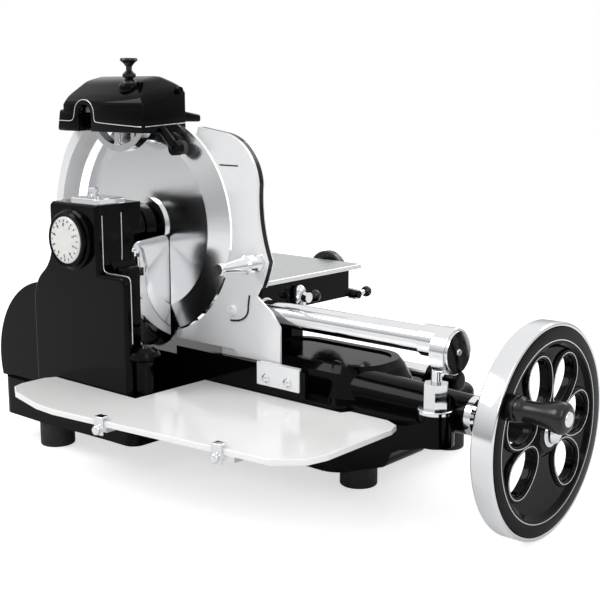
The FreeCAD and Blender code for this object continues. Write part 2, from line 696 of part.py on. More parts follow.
# ================================================================ column and gear case
def case_outline(y):
    """Outline of the gear case behind the column's front, in the plane at depth y."""
    gx = CASE_ROUND_X
    gz = CASE_ROUND_Z
    blend_x = COLUMN_LEFT_X - CASE_BLEND_R
    reach = GEAR_CASE_R + CASE_BLEND_R
    blend_z = gz + math.sqrt(reach * reach - (blend_x - gx) ** 2)
    touch = angle_between(gx, gz, blend_x, blend_z)
    foot_angle = 180.0 + math.degrees(math.asin((gz - COLUMN_FOOT_Z) / GEAR_CASE_R))
    start = V(CASE_RIGHT_X, y, COLUMN_FOOT_Z)
    shoulder = V(CASE_RIGHT_X, y, SHOULDER_Z)
    inner = V(COLUMN_RIGHT_X, y, SHOULDER_Z + SHOULDER_R)
    top_right = V(COLUMN_RIGHT_X, y, COLUMN_TOP_Z)
    top_left = V(COLUMN_LEFT_X, y, COLUMN_TOP_Z)
    blend_top = V(COLUMN_LEFT_X, y, blend_z)
    blend_low = on_circle(gx, y, gz, GEAR_CASE_R, touch)
    case_foot = on_circle(gx, y, gz, GEAR_CASE_R, foot_angle)
    blend_middle = on_circle(blend_x, y, blend_z, CASE_BLEND_R, (touch - 180.0) / 2.0)
    case_middle = on_circle(gx, y, gz, GEAR_CASE_R, (touch + foot_angle) / 2.0)
    edges = [line(start, shoulder), line(shoulder, inner), line(inner, top_right),
             line(top_right, top_left), line(top_left, blend_top),
             arc(blend_top, blend_middle, blend_low), arc(blend_low, case_middle, case_foot),
             line(case_foot, start)]
    return Part.Face(Part.Wire(edges))


def front_outline(y):
    """Outline of the raised front of the column, its left side an S curve."""
    middle_x = (COLUMN_LEFT_X + COLUMN_FOOT_LEFT_X) / 2.0
    middle_z = (FRONT_CURVE_TOP_Z + FRONT_CURVE_LOW_Z) / 2.0
    r = SHOULDER_R
    k = r * (1.0 - math.sqrt(0.5))
    c = FRONT_CORNER_R
    j = c * (1.0 - math.sqrt(0.5))
    corner_low = V(COLUMN_LEFT_X, y, COLUMN_TOP_Z - c)
    points = [V(SHOULDER_RIGHT_X, y, COLUMN_FOOT_Z), V(SHOULDER_RIGHT_X, y, SHOULDER_Z - r),
              V(SHOULDER_RIGHT_X - r, y, SHOULDER_Z), V(COLUMN_RIGHT_X, y, SHOULDER_Z),
              V(COLUMN_RIGHT_X, y, COLUMN_TOP_Z), V(COLUMN_LEFT_X + c, y, COLUMN_TOP_Z),
              V(COLUMN_LEFT_X, y, FRONT_CURVE_TOP_Z), V(middle_x, y, middle_z),
              V(COLUMN_FOOT_LEFT_X, y, FRONT_CURVE_LOW_Z), V(COLUMN_FOOT_LEFT_X, y, COLUMN_FOOT_Z)]
    upper = V(COLUMN_LEFT_X - 4.5, y, (FRONT_CURVE_TOP_Z + middle_z) / 2.0)
    lower = V(COLUMN_FOOT_LEFT_X + 4.5, y, (FRONT_CURVE_LOW_Z + middle_z) / 2.0)
    edges = [line(points[0], points[1]),
             arc(points[1], V(SHOULDER_RIGHT_X - k, y, SHOULDER_Z - k), points[2]),
             line(points[2], points[3]), line(points[3], points[4]), line(points[4], points[5]),
             arc(points[5], V(COLUMN_LEFT_X + j, y, COLUMN_TOP_Z - j), corner_low),
             line(corner_low, points[6]), arc(points[6], upper, points[7]),
             arc(points[7], lower, points[8]), line(points[8], points[9]), line(points[9], points[0])]
    return Part.Face(Part.Wire(edges))


def column_housing():
    front = front_outline(COLUMN_FRONT_Y).extrude(V(0, COLUMN_CASE_Y - COLUMN_FRONT_Y + 1.0, 0))
    front = round_edges(front, COLUMN_EDGE_R, at_depth(COLUMN_FRONT_Y))
    behind_wing = box(CASE_RIGHT_X, SHOULDER_RIGHT_X + 1.0, COLUMN_FRONT_Y + WING_T, COLUMN_CASE_Y + 2.0,
                      COLUMN_FOOT_Z - 1.0, SHOULDER_Z + 1.0)
    front = front.cut(behind_wing)
    case = case_outline(COLUMN_CASE_Y).extrude(V(0, COLUMN_COVER_Y - COLUMN_CASE_Y, 0))
    body = front.fuse([case, pilaster()])
    rooms = []
    for x, z, r in ((GEAR_CASE_X, SHAFT_Z, DRIVE_R), (IDLER_X, IDLER_Z, IDLER_R),
                    (0.0, BLADE_AXIS_Z, PINION_R)):
        rooms.append(rod_y(x, GEAR_ROOM_Y, COLUMN_COVER_Y + 1.0, z, r + SPUR_MODULE + OPEN_GAP))
    cross_seat = rod_y(GEAR_CASE_X, GEAR_ROOM_Y - BLIND_BUSH_LEN, GEAR_ROOM_Y + 1.0, SHAFT_Z,
                       CROSS_SHAFT_R + BUSH_WALL)
    blade_seat = rod_y(0.0, GEAR_ROOM_Y - 2.0 * BLIND_BUSH_LEN, GEAR_ROOM_Y + 1.0, BLADE_AXIS_Z,
                       BLADE_SHAFT_R + BUSH_WALL)
    idler_hole = rod_y(IDLER_X, GEAR_ROOM_Y - 10.0, GEAR_ROOM_Y + 1.0, IDLER_Z, IDLER_PIN_R)
    spindle_hole = rod_y(DIAL_X, COLUMN_FRONT_Y - 1.0, COLUMN_FRONT_Y + DIAL_SPINDLE_DEPTH + FREE_GAP,
                         DIAL_Z, DIAL_SPINDLE_R + RUN_GAP)
    return body.cut(rooms + [cross_seat, blade_seat, idler_hole, spindle_hole])


def pilaster():
    """Round post with a domed cap at the lower right corner of the column."""
    r = PILASTER_R
    cap_r = PILASTER_CAP_R
    z = PILASTER_CAP_Z
    rise = PILASTER_TOP_Z - z
    profile = [(0, COLUMN_FOOT_Z), (r, COLUMN_FOOT_Z), (r, z - 8.0), (r + 2.0, z - 3.0), (cap_r - 2.0, z),
               (cap_r, z + 2.0), (cap_r, z + 5.0), (0.87 * cap_r, z + 0.6 * rise),
               (0.55 * cap_r, z + 0.86 * rise),
               (0, PILASTER_TOP_Z)]
    post = turned_z(profile, SHOULDER_RIGHT_X, PILASTER_Y)
    web = box(CASE_RIGHT_X - 1.0, SHOULDER_RIGHT_X, PILASTER_Y - 8.0, PILASTER_Y + 8.0, COLUMN_FOOT_Z, z)
    return post.fuse(web)


def gear_case_cover():
    """Plate that closes the gear case from behind, with the long bearing boss of the blade."""
    plate = case_outline(COLUMN_COVER_Y).extrude(V(0, COLUMN_BACK_Y - COLUMN_COVER_Y, 0))
    boss = Part.makeCone(BEARING_BOSS_R + 2.0, BEARING_BOSS_R, BEARING_BOSS_END_Y - COLUMN_BACK_Y,
                         V(0, COLUMN_BACK_Y, BLADE_AXIS_Z), Y_DIR)
    block = rounded_block(TOP_BLOCK_LEFT_X, COLUMN_RIGHT_X, COLUMN_BACK_Y - 1.0, COLUMN_BACK_Y + TOP_BLOCK_T,
                          TOP_BLOCK_Z, COLUMN_TOP_Z, COLUMN_EDGE_R)
    cover = plate.fuse([boss, block])
    blade_bore = rod_y(0.0, COLUMN_COVER_Y - 1.0, BEARING_BOSS_END_Y + 1.0, BLADE_AXIS_Z,
                       BLADE_SHAFT_R + BUSH_WALL)
    cross_bore = rod_y(GEAR_CASE_X, COLUMN_COVER_Y - 1.0, COLUMN_BACK_Y + 1.0, SHAFT_Z,
                       CROSS_SHAFT_R + BUSH_WALL)
    return cover.cut([blade_bore, cross_bore])


def column_top_plate():
    inset = TOP_PLATE_INSET
    right = COLUMN_RIGHT_X - inset
    plate = rounded_block(right - TOP_PLATE_W, right, COLUMN_FRONT_Y + inset, COLUMN_BACK_Y - inset,
                          COLUMN_TOP_Z, COLUMN_TOP_Z + TOP_PLATE_T, TOP_PLATE_INSET)
    return round_edges(plate, 2.0, at_height(COLUMN_TOP_Z + TOP_PLATE_T))


def oil_cap():
    z = COLUMN_TOP_Z + TOP_PLATE_T
    profile = [(0, z), (OIL_CAP_R + 2.5, z), (OIL_CAP_R + 2.5, z + 2.5), (OIL_CAP_R - 2.0, z + 4.0),
               (OIL_CAP_R - 2.0, z + 6.0), (OIL_CAP_R, z + 7.0), (OIL_CAP_R, z + OIL_CAP_H - 1.5),
               (OIL_CAP_R - 1.5, z + OIL_CAP_H), (0, z + OIL_CAP_H)]
    return turned_z(profile, OIL_CAP_X, OIL_CAP_Y)


def hub_ring():
    """Bright ring that carries the rear bush of the blade shaft."""
    y0 = BEARING_BOSS_END_Y
    y1 = HUB_RING_END_Y
    bore = BLADE_SHAFT_R + BUSH_WALL
    profile = [(bore, y0), (HUB_RING_R, y0), (HUB_RING_R, y1 - 5.0), (HUB_RING_R - 5.0, y1), (bore, y1)]
    return turned_y(profile, 0.0, BLADE_AXIS_Z)


# ================================================================ thickness dial
def dial_bezel():
    y0 = COLUMN_FRONT_Y
    y1 = COLUMN_FRONT_Y - DIAL_RIM_T
    inner = DIAL_R + FREE_GAP
    profile = [(inner, y0), (DIAL_RIM_R + 3.0, y0), (DIAL_RIM_R + 3.0, y0 - 3.0), (DIAL_RIM_R, y0 - 5.0),
               (DIAL_RIM_R, y1 + 2.0), (DIAL_RIM_R - 2.0, y1), (inner, y1 + 1.0)]
    return turned_y(profile, DIAL_X, DIAL_Z)


def thickness_dial():
    front = COLUMN_FRONT_Y - DIAL_RIM_T - 1.0
    back = front + DIAL_T
    profile = [(0, front - 1.5), (DIAL_R * 0.6, front - 1.2), (DIAL_R - 2.0, front), (DIAL_R, front + 1.5),
               (DIAL_R, back), (DIAL_SPINDLE_R, back), (DIAL_SPINDLE_R, COLUMN_FRONT_Y + DIAL_SPINDLE_DEPTH),
               (0, COLUMN_FRONT_Y + DIAL_SPINDLE_DEPTH)]
    return turned_y(profile, DIAL_X, DIAL_Z)


# ================================================================ gear train and blade
def blade():
    y_front = BLADE_SEAT_Y
    y_back = BLADE_BACK_Y
    profile = [(BLADE_PILOT_R, y_front), (BLADE_BEVEL_INNER_R, y_front), (BLADE_R, -BLADE_EDGE),
               (BLADE_R, 0.0), (BLADE_BACK_LAND_R, 0.0), (BLADE_BACK_LAND_R - 14.0, y_back),
               (BLADE_PILOT_R, y_back)]
    disc = turned_y(profile, 0.0, BLADE_AXIS_Z)
    return disc.cut(screw_shanks(y_front - 1.0, y_back + 1.0))


def screw_shanks(y0, y1):
    shanks = []
    for i in range(BLADE_SCREW_COUNT):
        place = on_circle(0.0, 0.0, BLADE_AXIS_Z, BLADE_SCREW_CIRCLE_R, 360.0 * i / BLADE_SCREW_COUNT)
        shanks.append(rod_y(place.x, y0, y1, place.z, BLADE_SCREW_R))
    return shanks


def blade_shaft():
    flange_y = BLADE_SEAT_Y - BLADE_FLANGE_T
    start_y = GEAR_ROOM_Y - 2.0 * BLIND_BUSH_LEN + 1.0
    profile = [(0, start_y), (BLADE_SHAFT_R, start_y), (BLADE_SHAFT_R, flange_y),
               (BLADE_FLANGE_R, flange_y), (BLADE_FLANGE_R, BLADE_SEAT_Y), (BLADE_PILOT_R, BLADE_SEAT_Y),
               (BLADE_PILOT_R, BLADE_BACK_Y), (0, BLADE_BACK_Y)]
    shaft = turned_y(profile, 0.0, BLADE_AXIS_Z)
    return shaft.cut(screw_shanks(flange_y - 1.0, BLADE_BACK_Y))


def blade_screws():
    flange_y = BLADE_SEAT_Y - BLADE_FLANGE_T
    screws = []
    for shank in screw_shanks(flange_y, BLADE_BACK_Y):
        centre = shank.CenterOfMass
        head = rod_y(centre.x, BLADE_BACK_Y, BLADE_BACK_Y + BLADE_SCREW_HEAD_T, centre.z, BLADE_SCREW_HEAD_R)
        screws.append(shank.fuse(head).removeSplitter())
    return Part.makeCompound(screws)


def blade_bushes():
    inner = BLADE_SHAFT_R + RUN_GAP
    outer = BLADE_SHAFT_R + BUSH_WALL
    front = tube_y(0.0, GEAR_ROOM_Y - 2.0 * BLIND_BUSH_LEN, GEAR_ROOM_Y, BLADE_AXIS_Z, outer, inner)
    rear = tube_y(0.0, COLUMN_COVER_Y, HUB_RING_END_Y, BLADE_AXIS_Z, outer, inner)
    return Part.makeCompound([front, rear])


def blade_pinion():
    toward = angle_between(0.0, BLADE_AXIS_Z, IDLER_X, IDLER_Z)
    return spur_gear(0.0, BLADE_AXIS_Z, PINION_TEETH, meshed_turn(toward, PINION_TEETH) + idler_phase_at_pinion(),
                     BLADE_SHAFT_R)


def idler_turn():
    toward = angle_between(IDLER_X, IDLER_Z, GEAR_CASE_X, SHAFT_Z)
    return meshed_turn(toward, IDLER_TEETH)


def idler_phase_at_pinion():
    """How far the idler's nearest tooth lies off the line to the pinion, as turn of the pinion."""
    toward = angle_between(IDLER_X, IDLER_Z, 0.0, BLADE_AXIS_Z)
    pitch = 360.0 / IDLER_TEETH
    off = (idler_turn() - toward) % pitch
    return -off * IDLER_TEETH / PINION_TEETH


def idler_gear():
    return spur_gear(IDLER_X, IDLER_Z, IDLER_TEETH, idler_turn(), IDLER_PIN_R + RUN_GAP)


def idler_pin():
    shank = rod_y(IDLER_X, GEAR_ROOM_Y - 10.0, COLUMN_COVER_Y, IDLER_Z, IDLER_PIN_R)
    collars = []
    for y0, y1 in ((GEAR_ROOM_Y, GEAR_FRONT_Y - FREE_GAP), (GEAR_BACK_Y + FREE_GAP, COLUMN_COVER_Y)):
        collars.append(rod_y(IDLER_X, y0, y1, IDLER_Z, IDLER_PIN_R + 4.0))
    return shank.fuse(collars).removeSplitter()


def drive_gear():
    toward = angle_between(GEAR_CASE_X, SHAFT_Z, IDLER_X, IDLER_Z)
    return spur_gear(GEAR_CASE_X, SHAFT_Z, DRIVE_TEETH, toward, CROSS_SHAFT_R, web=True)


def cross_shaft():
    return rod_y(GEAR_CASE_X, GEAR_ROOM_Y - BLIND_BUSH_LEN + 1.0, SHAFT_Y - 0.6 * BEVEL_R, SHAFT_Z,
                 CROSS_SHAFT_R)


def cross_bushes():
    inner = CROSS_SHAFT_R + RUN_GAP
    outer = CROSS_SHAFT_R + BUSH_WALL
    spans = ((GEAR_ROOM_Y - BLIND_BUSH_LEN, GEAR_ROOM_Y), (COLUMN_COVER_Y, COLUMN_BACK_Y),
             (BASE_FRONT_Y, SHAFT_Y - BEVEL_R - BEVEL_HUB_T - OPEN_GAP))
    bushes = [tube_y(GEAR_CASE_X, y0, y1, SHAFT_Z, outer, inner) for y0, y1 in spans]
    return Part.makeCompound(bushes)


def bevel_gear(axis, side, bore_r, turn):
    """Bevel gear whose cone ends where the two shafts cross. axis points from there to its back."""
    apex = V(GEAR_CASE_X, SHAFT_Y, SHAFT_Z)
    wires = []
    for scale in (1.0 - BEVEL_FACE, 1.0):
        points = []
        for r, a in tooth_outline(BEVEL_TEETH, BEVEL_MODULE):
            around = side * (r * scale * math.cos(a + turn)) + Z_DIR * (r * scale * math.sin(a + turn))
            points.append(apex + axis * (BEVEL_R * scale) + around)
        wires.append(Part.makePolygon(points + [points[0]]))
    teeth = Part.makeLoft(wires, True, True)
    hub = Part.makeCylinder(BEVEL_HUB_R, BEVEL_HUB_T, apex + axis * BEVEL_R, axis)
    bore = Part.makeCylinder(bore_r, BEVEL_R + BEVEL_HUB_T + 1.0, apex + axis * (0.3 * BEVEL_R), axis)
    return teeth.fuse(hub).cut(bore)


def main_bevel_gear():
    return bevel_gear(X_DIR, V(0, -1, 0), MAIN_SHAFT_R, 0.0)


def cross_bevel_gear():
    return bevel_gear(V(0, -1, 0), X_DIR, CROSS_SHAFT_R, math.pi / BEVEL_TEETH)


def main_shaft():
    start = GEAR_CASE_X + 0.6 * BEVEL_R
    return rod_x(start, WHEEL_FACE_X, SHAFT_Y, SHAFT_Z, MAIN_SHAFT_R)


def main_bushes():
    bushes = [tube_x(x, x + MAIN_BUSH_LEN, SHAFT_Y, SHAFT_Z, MAIN_SHAFT_R + BUSH_WALL, MAIN_SHAFT_R + RUN_GAP)
              for x in main_bush_places()]
    return Part.makeCompound(bushes)


def neck_collar():
    x0 = NECK_END_X
    x1 = NECK_END_X + COLLAR_W
    bore = MAIN_SHAFT_R + OPEN_GAP
    profile = [(x0, bore), (x0, COLLAR_R), (x1 - 3.0, COLLAR_R), (x1, COLLAR_R - 3.0), (x1, bore)]
    return turned_x(profile, SHAFT_Y, SHAFT_Z)


# ================================================================ flywheel
def petal(angle):
    """Tear shaped opening: two circles and the lines that touch both."""
    far = V(0, PETAL_OUTER_R, 0)
    gap = PETAL_OUTER_R - PETAL_INNER_R
    lean = math.asin((PETAL_OUTER_ROUND - PETAL_INNER_ROUND) / gap)
    x0 = WHEEL_BACK_X - 1.0

    def spot(middle, r, a):
        return V(x0, middle + r * math.sin(a), r * math.cos(a))

    low_left = spot(PETAL_INNER_R, PETAL_INNER_ROUND, -lean)
    high_left = spot(far.y, PETAL_OUTER_ROUND, -lean)
    top = V(x0, far.y + PETAL_OUTER_ROUND, 0)
    bottom = V(x0, PETAL_INNER_R - PETAL_INNER_ROUND, 0)
    low_right = V(x0, low_left.y, -low_left.z)
    high_right = V(x0, high_left.y, -high_left.z)
    edges = [line(low_left, high_left), arc(high_left, top, high_right), line(high_right, low_right),
             arc(low_right, bottom, low_left)]
    opening = Part.Face(Part.Wire(edges)).extrude(V(WHEEL_RIM_W + 2.0, 0, 0))
    opening.rotate(V(0, 0, 0), X_DIR, angle)
    opening.translate(V(0, SHAFT_Y, SHAFT_Z))
    return opening


def flywheel():
    """Flywheel in one casting: hub, web with petals, crank boss and a bright turned rim."""
    x0 = WHEEL_BACK_X
    x1 = WHEEL_FACE_X
    web0 = x1 - WHEEL_WEB_SET_BACK - WHEEL_WEB_T
    web1 = x1 - WHEEL_WEB_SET_BACK
    hub0 = NECK_END_X + COLLAR_W + FREE_GAP
    ring_r = WHEEL_RING_INNER_R
    profile = [(hub0, MAIN_SHAFT_R), (hub0, WHEEL_HUB_TAIL_R), (web0, WHEEL_HUB_R), (web0, ring_r),
               (x0 + 2.0, ring_r + 4.0), (x0 + 2.0, WHEEL_FACE_R), (x1 - 2.0, WHEEL_FACE_R),
               (x1, WHEEL_FACE_R - 2.0), (x1, ring_r + 3.0), (web1, ring_r - 4.0), (web1, WHEEL_HUB_R + 6.0),
               (x1, WHEEL_HUB_R), (x1, MAIN_SHAFT_R)]
    disc = turned_x(profile, SHAFT_Y, SHAFT_Z)
    petals = [petal(PETAL_FIRST + PETAL_STEP * i) for i in range(PETAL_COUNT)]
    crank_boss = rod_x(web0, x1, HANDLE_Y, HANDLE_Z, HANDLE_COLLAR_R + 3.0)
    disc = disc.cut(petals).fuse([crank_boss, flywheel_rim()])
    return disc.cut(rod_x(web0 - 1.0, x1 + 1.0, HANDLE_Y, HANDLE_Z, HANDLE_PIN_R))


def flywheel_rim():
    x0 = WHEEL_BACK_X
    x1 = WHEEL_FACE_X + 1.0
    r0 = WHEEL_FACE_R
    r1 = WHEEL_RIM_R
    profile = [(x0, r0), (x0, r1 - 3.0), (x0 + 3.0, r1), (x1 - 4.0, r1), (x1 - 1.0, r1 - 1.5),
               (x1, r1 - 4.0), (x1, r0)]
    return turned_x(profile, SHAFT_Y, SHAFT_Z)


def wheel_cap():
    x0 = WHEEL_FACE_X
    r = WHEEL_CAP_R
    t = WHEEL_CAP_T
    profile = [(x0, 0), (x0, r + 4.0), (x0 + 2.0, r + 4.0), (x0 + 3.0, r), (x0 + t - 5.0, r),
               (x0 + t - 2.0, r - 2.5), (x0 + t, r - 7.0), (x0 + t, 0)]
    return turned_x(profile, SHAFT_Y, SHAFT_Z)


def handle_pin():
    web0 = WHEEL_FACE_X - WHEEL_WEB_SET_BACK - WHEEL_WEB_T
    pin = rod_x(web0, HANDLE_END_X - 4.0, HANDLE_Y, HANDLE_Z, HANDLE_PIN_R)
    collar = rod_x(WHEEL_FACE_X, WHEEL_FACE_X + HANDLE_COLLAR_T, HANDLE_Y, HANDLE_Z, HANDLE_COLLAR_R)
    collar = round_edges(collar, 2.0, lambda e: e.BoundBox.XMin > WHEEL_FACE_X + HANDLE_COLLAR_T - 0.01)
    return pin.fuse(collar).removeSplitter()


def handle_grip():
    """Turned grip: slim neck, swelling to a bulb, closed by a round end."""
    x0 = HANDLE_START_X
    x1 = HANDLE_END_X
    length = x1 - x0
    neck = V(x0, HANDLE_Y, HANDLE_Z + HANDLE_NECK_R)
    waist = V(x0 + 0.35 * length, HANDLE_Y, HANDLE_Z + HANDLE_NECK_R + 1.0)
    bulb = V(x0 + 0.74 * length, HANDLE_Y, HANDLE_Z + HANDLE_BULB_R)
    tip = V(x1, HANDLE_Y, HANDLE_Z + HANDLE_CAP_R)
    shoulder = V(x0 + 0.9 * length, HANDLE_Y, HANDLE_Z + HANDLE_BULB_R - 1.8)
    curve = Part.BSplineCurve()
    curve.interpolate([neck, waist, bulb, shoulder, tip])
    bore = HANDLE_PIN_R + RUN_GAP
    inner_start = V(x0, HANDLE_Y, HANDLE_Z + bore)
    inner_end = V(x1 - 3.0, HANDLE_Y, HANDLE_Z + bore)
    closed = V(x1 - 3.0, HANDLE_Y, HANDLE_Z)
    axis_end = V(x1, HANDLE_Y, HANDLE_Z)
    edges = [line(inner_start, neck), curve.toShape(), line(tip, axis_end), line(axis_end, closed),
             line(closed, inner_end), line(inner_end, inner_start)]
    face = Part.Face(Part.Wire(edges))
    return face.revolve(V(0, HANDLE_Y, HANDLE_Z), X_DIR, 360.0)


# ================================================================ guide tube, pillar, rear rail
def guide_tube():
    return tube_x(TUBE_LEFT_X, HEAD_START_X + 2.0, TUBE_Y, TUBE_Z, TUBE_R, TUBE_R - TUBE_WALL)


def guide_tube_head():
    """Sleeve over the tube's end that sits on the pillar, closed by a short thick disc."""
    x0 = HEAD_START_X
    x1 = HEAD_START_X + HEAD_W
    neck = rod_x(x0 + 2.0 - HEAD_NECK_W, x0 + 3.0, TUBE_Y, TUBE_Z, TUBE_R + HEAD_NECK_WALL)
    drum = rod_x(x0, x1, TUBE_Y, HEAD_Z, HEAD_R)
    drum = round_edges(drum, 2.0, lambda e: e.BoundBox.XMin > x1 - 0.01)
    end_disc = rod_x(x1, x1 + HEAD_DISC_T, TUBE_Y, HEAD_Z, HEAD_DISC_R)
    body = neck.fuse([drum, end_disc])
    seat = rod_x(x0 - HEAD_NECK_W, x0 + 2.0, TUBE_Y, TUBE_Z, TUBE_R)
    pillar_hole = rod_z(PILLAR_X, TUBE_Y, TUBE_Z - HEAD_R, TUBE_Z - TUBE_R, PILLAR_R)
    return body.cut([seat, pillar_hole])


def pillar():
    z = PILLAR_SEAT_Z
    flange = rod_z(PILLAR_X, TUBE_Y, z, z + PILLAR_FLANGE_T, PILLAR_FLANGE_R)
    flange = round_edges(flange, 1.5, at_height(z + PILLAR_FLANGE_T))
    corner_r = PILLAR_HEX / math.sqrt(3.0)
    points = []
    for i in range(6):
        a = math.radians(60.0 * i)
        points.append(V(PILLAR_X + corner_r * math.cos(a), TUBE_Y + corner_r * math.sin(a),
                        z + PILLAR_FLANGE_T))
    hexagon = face_of(points).extrude(V(0, 0, PILLAR_HEX_H))
    stem = rod_z(PILLAR_X, TUBE_Y, z - 20.0, TUBE_Z - TUBE_R - FREE_GAP, PILLAR_R)
    return flange.fuse([hexagon, stem]).removeSplitter()


def tube_stand():
    """Left support of the guide tube, standing on the raised part of the base."""
    x0 = TUBE_LEFT_X
    x1 = TUBE_LEFT_X + TUBE_STAND_W
    post = box(x0, x1, TUBE_Y - 17.0, TUBE_Y + 17.0, TUNNEL_TOP_Z, TUBE_Z)
    eye = rod_x(x0, x1, TUBE_Y, TUBE_Z, TUBE_R + 4.0)
    stand = post.fuse(eye).removeSplitter()
    return stand.cut(rod_x(x0 - 1.0, x1 + 1.0, TUBE_Y, TUBE_Z, TUBE_R))


def rear_rail():
    bar = rod_x(RAIL_LEFT_X, RAIL_RIGHT_X, RAIL_Y, RAIL_Z, RAIL_R)
    dome = Part.makeSphere(RAIL_R, V(RAIL_RIGHT_X, RAIL_Y, RAIL_Z))
    return bar.fuse(dome).removeSplitter()


def rear_rail_stands():
    stands = []
    for x0 in (RAIL_LEFT_X + 6.0, BASE_RIGHT_X - RAIL_STAND_W - 4.0):
        x1 = x0 + RAIL_STAND_W
        post = box(x0, x1, RAIL_Y - 12.0, RAIL_Y + 12.0, BASE_LOW_Z, RAIL_Z)
        eye = rod_x(x0, x1, RAIL_Y, RAIL_Z, RAIL_R + 5.0)
        bore = rod_x(x0 - 1.0, x1 + 1.0, RAIL_Y, RAIL_Z, RAIL_R)
        stands.append(post.fuse(eye).removeSplitter().cut(bore))
    return stands


# ================================================================ carriage and table
def carriage_body():
    """Cast carriage, open below, with a groove for the table's runner."""
    outer = rounded_block(CARRIAGE_LEFT_X, CARRIAGE_RIGHT_X, CARRIAGE_FRONT_Y, CARRIAGE_REAR_Y,
                          CARRIAGE_SKIRT_Z, CARRIAGE_TOP_Z, 4.0)
    w = CARRIAGE_WALL
    inner = box(CARRIAGE_LEFT_X + w, CARRIAGE_RIGHT_X - w, TUBE_Y + SLEEVE_R + w, CARRIAGE_REAR_Y - w,
                CARRIAGE_SKIRT_Z - 1.0, CARRIAGE_TOP_Z - CARRIAGE_ROOF)
    sleeve_way = rod_x(CARRIAGE_LEFT_X - 1.0, CARRIAGE_RIGHT_X + 1.0, TUBE_Y, TUBE_Z, SLEEVE_R)
    below = box(CARRIAGE_LEFT_X - 1.0, CARRIAGE_RIGHT_X + 1.0, CARRIAGE_FRONT_Y - 1.0, TUBE_Y,
                CARRIAGE_SKIRT_Z - 1.0, TUBE_Z)
    half = RUNNER_W / 2.0 + FREE_GAP
    groove = box(RUNNER_X - half, RUNNER_X + half, CARRIAGE_FRONT_Y - 1.0, CARRIAGE_REAR_Y + 1.0,
                 CARRIAGE_TOP_Z - RUNNER_H, CARRIAGE_TOP_Z + 1.0)
    nut_bore = rod_y(RUNNER_X, CARRIAGE_REAR_Y - w - 1.0, CARRIAGE_REAR_Y + 1.0, FEED_SCREW_Z,
                     FEED_SCREW_R + RUN_GAP)
    carriage = outer.cut([inner, sleeve_way, below, groove, nut_bore])
    return carriage.fuse([carriage_leg(), feed_lever_pin()])


def carriage_sleeve():
    return tube_x(CARRIAGE_LEFT_X, CARRIAGE_RIGHT_X, TUBE_Y, TUBE_Z, SLEEVE_R, TUBE_R + RUN_GAP)


def carriage_leg():
    """Rear leg of the carriage, its eye sliding on the rear rail."""
    x0 = LEG_X - LEG_W / 2.0
    x1 = LEG_X + LEG_W / 2.0
    y0 = CARRIAGE_REAR_Y - CARRIAGE_WALL
    leg = box(x0, x1, y0 - 6.0, RAIL_Y + LEG_REACH, RAIL_Z, CARRIAGE_SKIRT_Z)
    eye = rod_x(x0, x1, RAIL_Y, RAIL_Z, RAIL_R + 6.0)
    bore = rod_x(x0 - 1.0, x1 + 1.0, RAIL_Y, RAIL_Z, RAIL_R + RUN_GAP)
    return leg.fuse(eye).removeSplitter().cut(bore)


def table_plate():
    z0 = CARRIAGE_TOP_Z + FREE_GAP
    plate = rounded_block(CARRIAGE_LEFT_X - TABLE_OVERHANG, CARRIAGE_RIGHT_X + TABLE_OVERHANG,
                          TABLE_FRONT_Y, TABLE_REAR_Y, z0, TABLE_TOP_Z, 3.0)
    return round_edges(plate, 1.2, at_height(TABLE_TOP_Z))


def table_runner():
    """Runner below the table, with the lug that holds the feed screw at the rear."""
    half = RUNNER_W / 2.0
    z1 = CARRIAGE_TOP_Z + FREE_GAP
    runner = box(RUNNER_X - half, RUNNER_X + half, TABLE_FRONT_Y + 6.0, TABLE_REAR_Y - 2.0,
                 CARRIAGE_TOP_Z - RUNNER_H + FREE_GAP, z1)
    lug = box(RUNNER_X - half, RUNNER_X + half, TABLE_REAR_Y - FEED_LUG_W, TABLE_REAR_Y - 2.0,
              FEED_SCREW_Z - 12.0, z1)
    bore = rod_y(RUNNER_X, TABLE_REAR_Y - FEED_LUG_W - 1.0, TABLE_REAR_Y, FEED_SCREW_Z,
                 FEED_SCREW_R + RUN_GAP)
    return runner.fuse(lug).removeSplitter().cut(bore)


def feed_screw():
    rod = rod_y(RUNNER_X, FEED_SCREW_START_Y, TABLE_REAR_Y + 6.0, FEED_SCREW_Z, FEED_SCREW_R)
    collars = [rod_y(RUNNER_X, TABLE_REAR_Y - FEED_LUG_W - FREE_GAP - 5.0, TABLE_REAR_Y - FEED_LUG_W - FREE_GAP,
                     FEED_SCREW_Z, FEED_SCREW_R + 3.0)]
    return rod.fuse(collars).removeSplitter()


def feed_knob():
    """Hand wheel behind the table, its hub running up to the lug that holds the screw."""
    hub_y = TABLE_REAR_Y - 2.0 + FREE_GAP
    y0 = hub_y + FEED_KNOB_NECK
    y1 = y0 + FEED_KNOB_T
    r = FEED_KNOB_R
    hole = FEED_SCREW_R
    end = TABLE_REAR_Y + 6.0
    profile = [(hole, hub_y), (11.0, hub_y), (12.0, y0), (r - 2.0, y0), (r, y0 + 2.0),
               (r, y1 - 3.0), (r - 2.0, y1), (0, y1), (0, end), (hole, end)]
    return turned_y(profile, RUNNER_X, FEED_SCREW_Z)


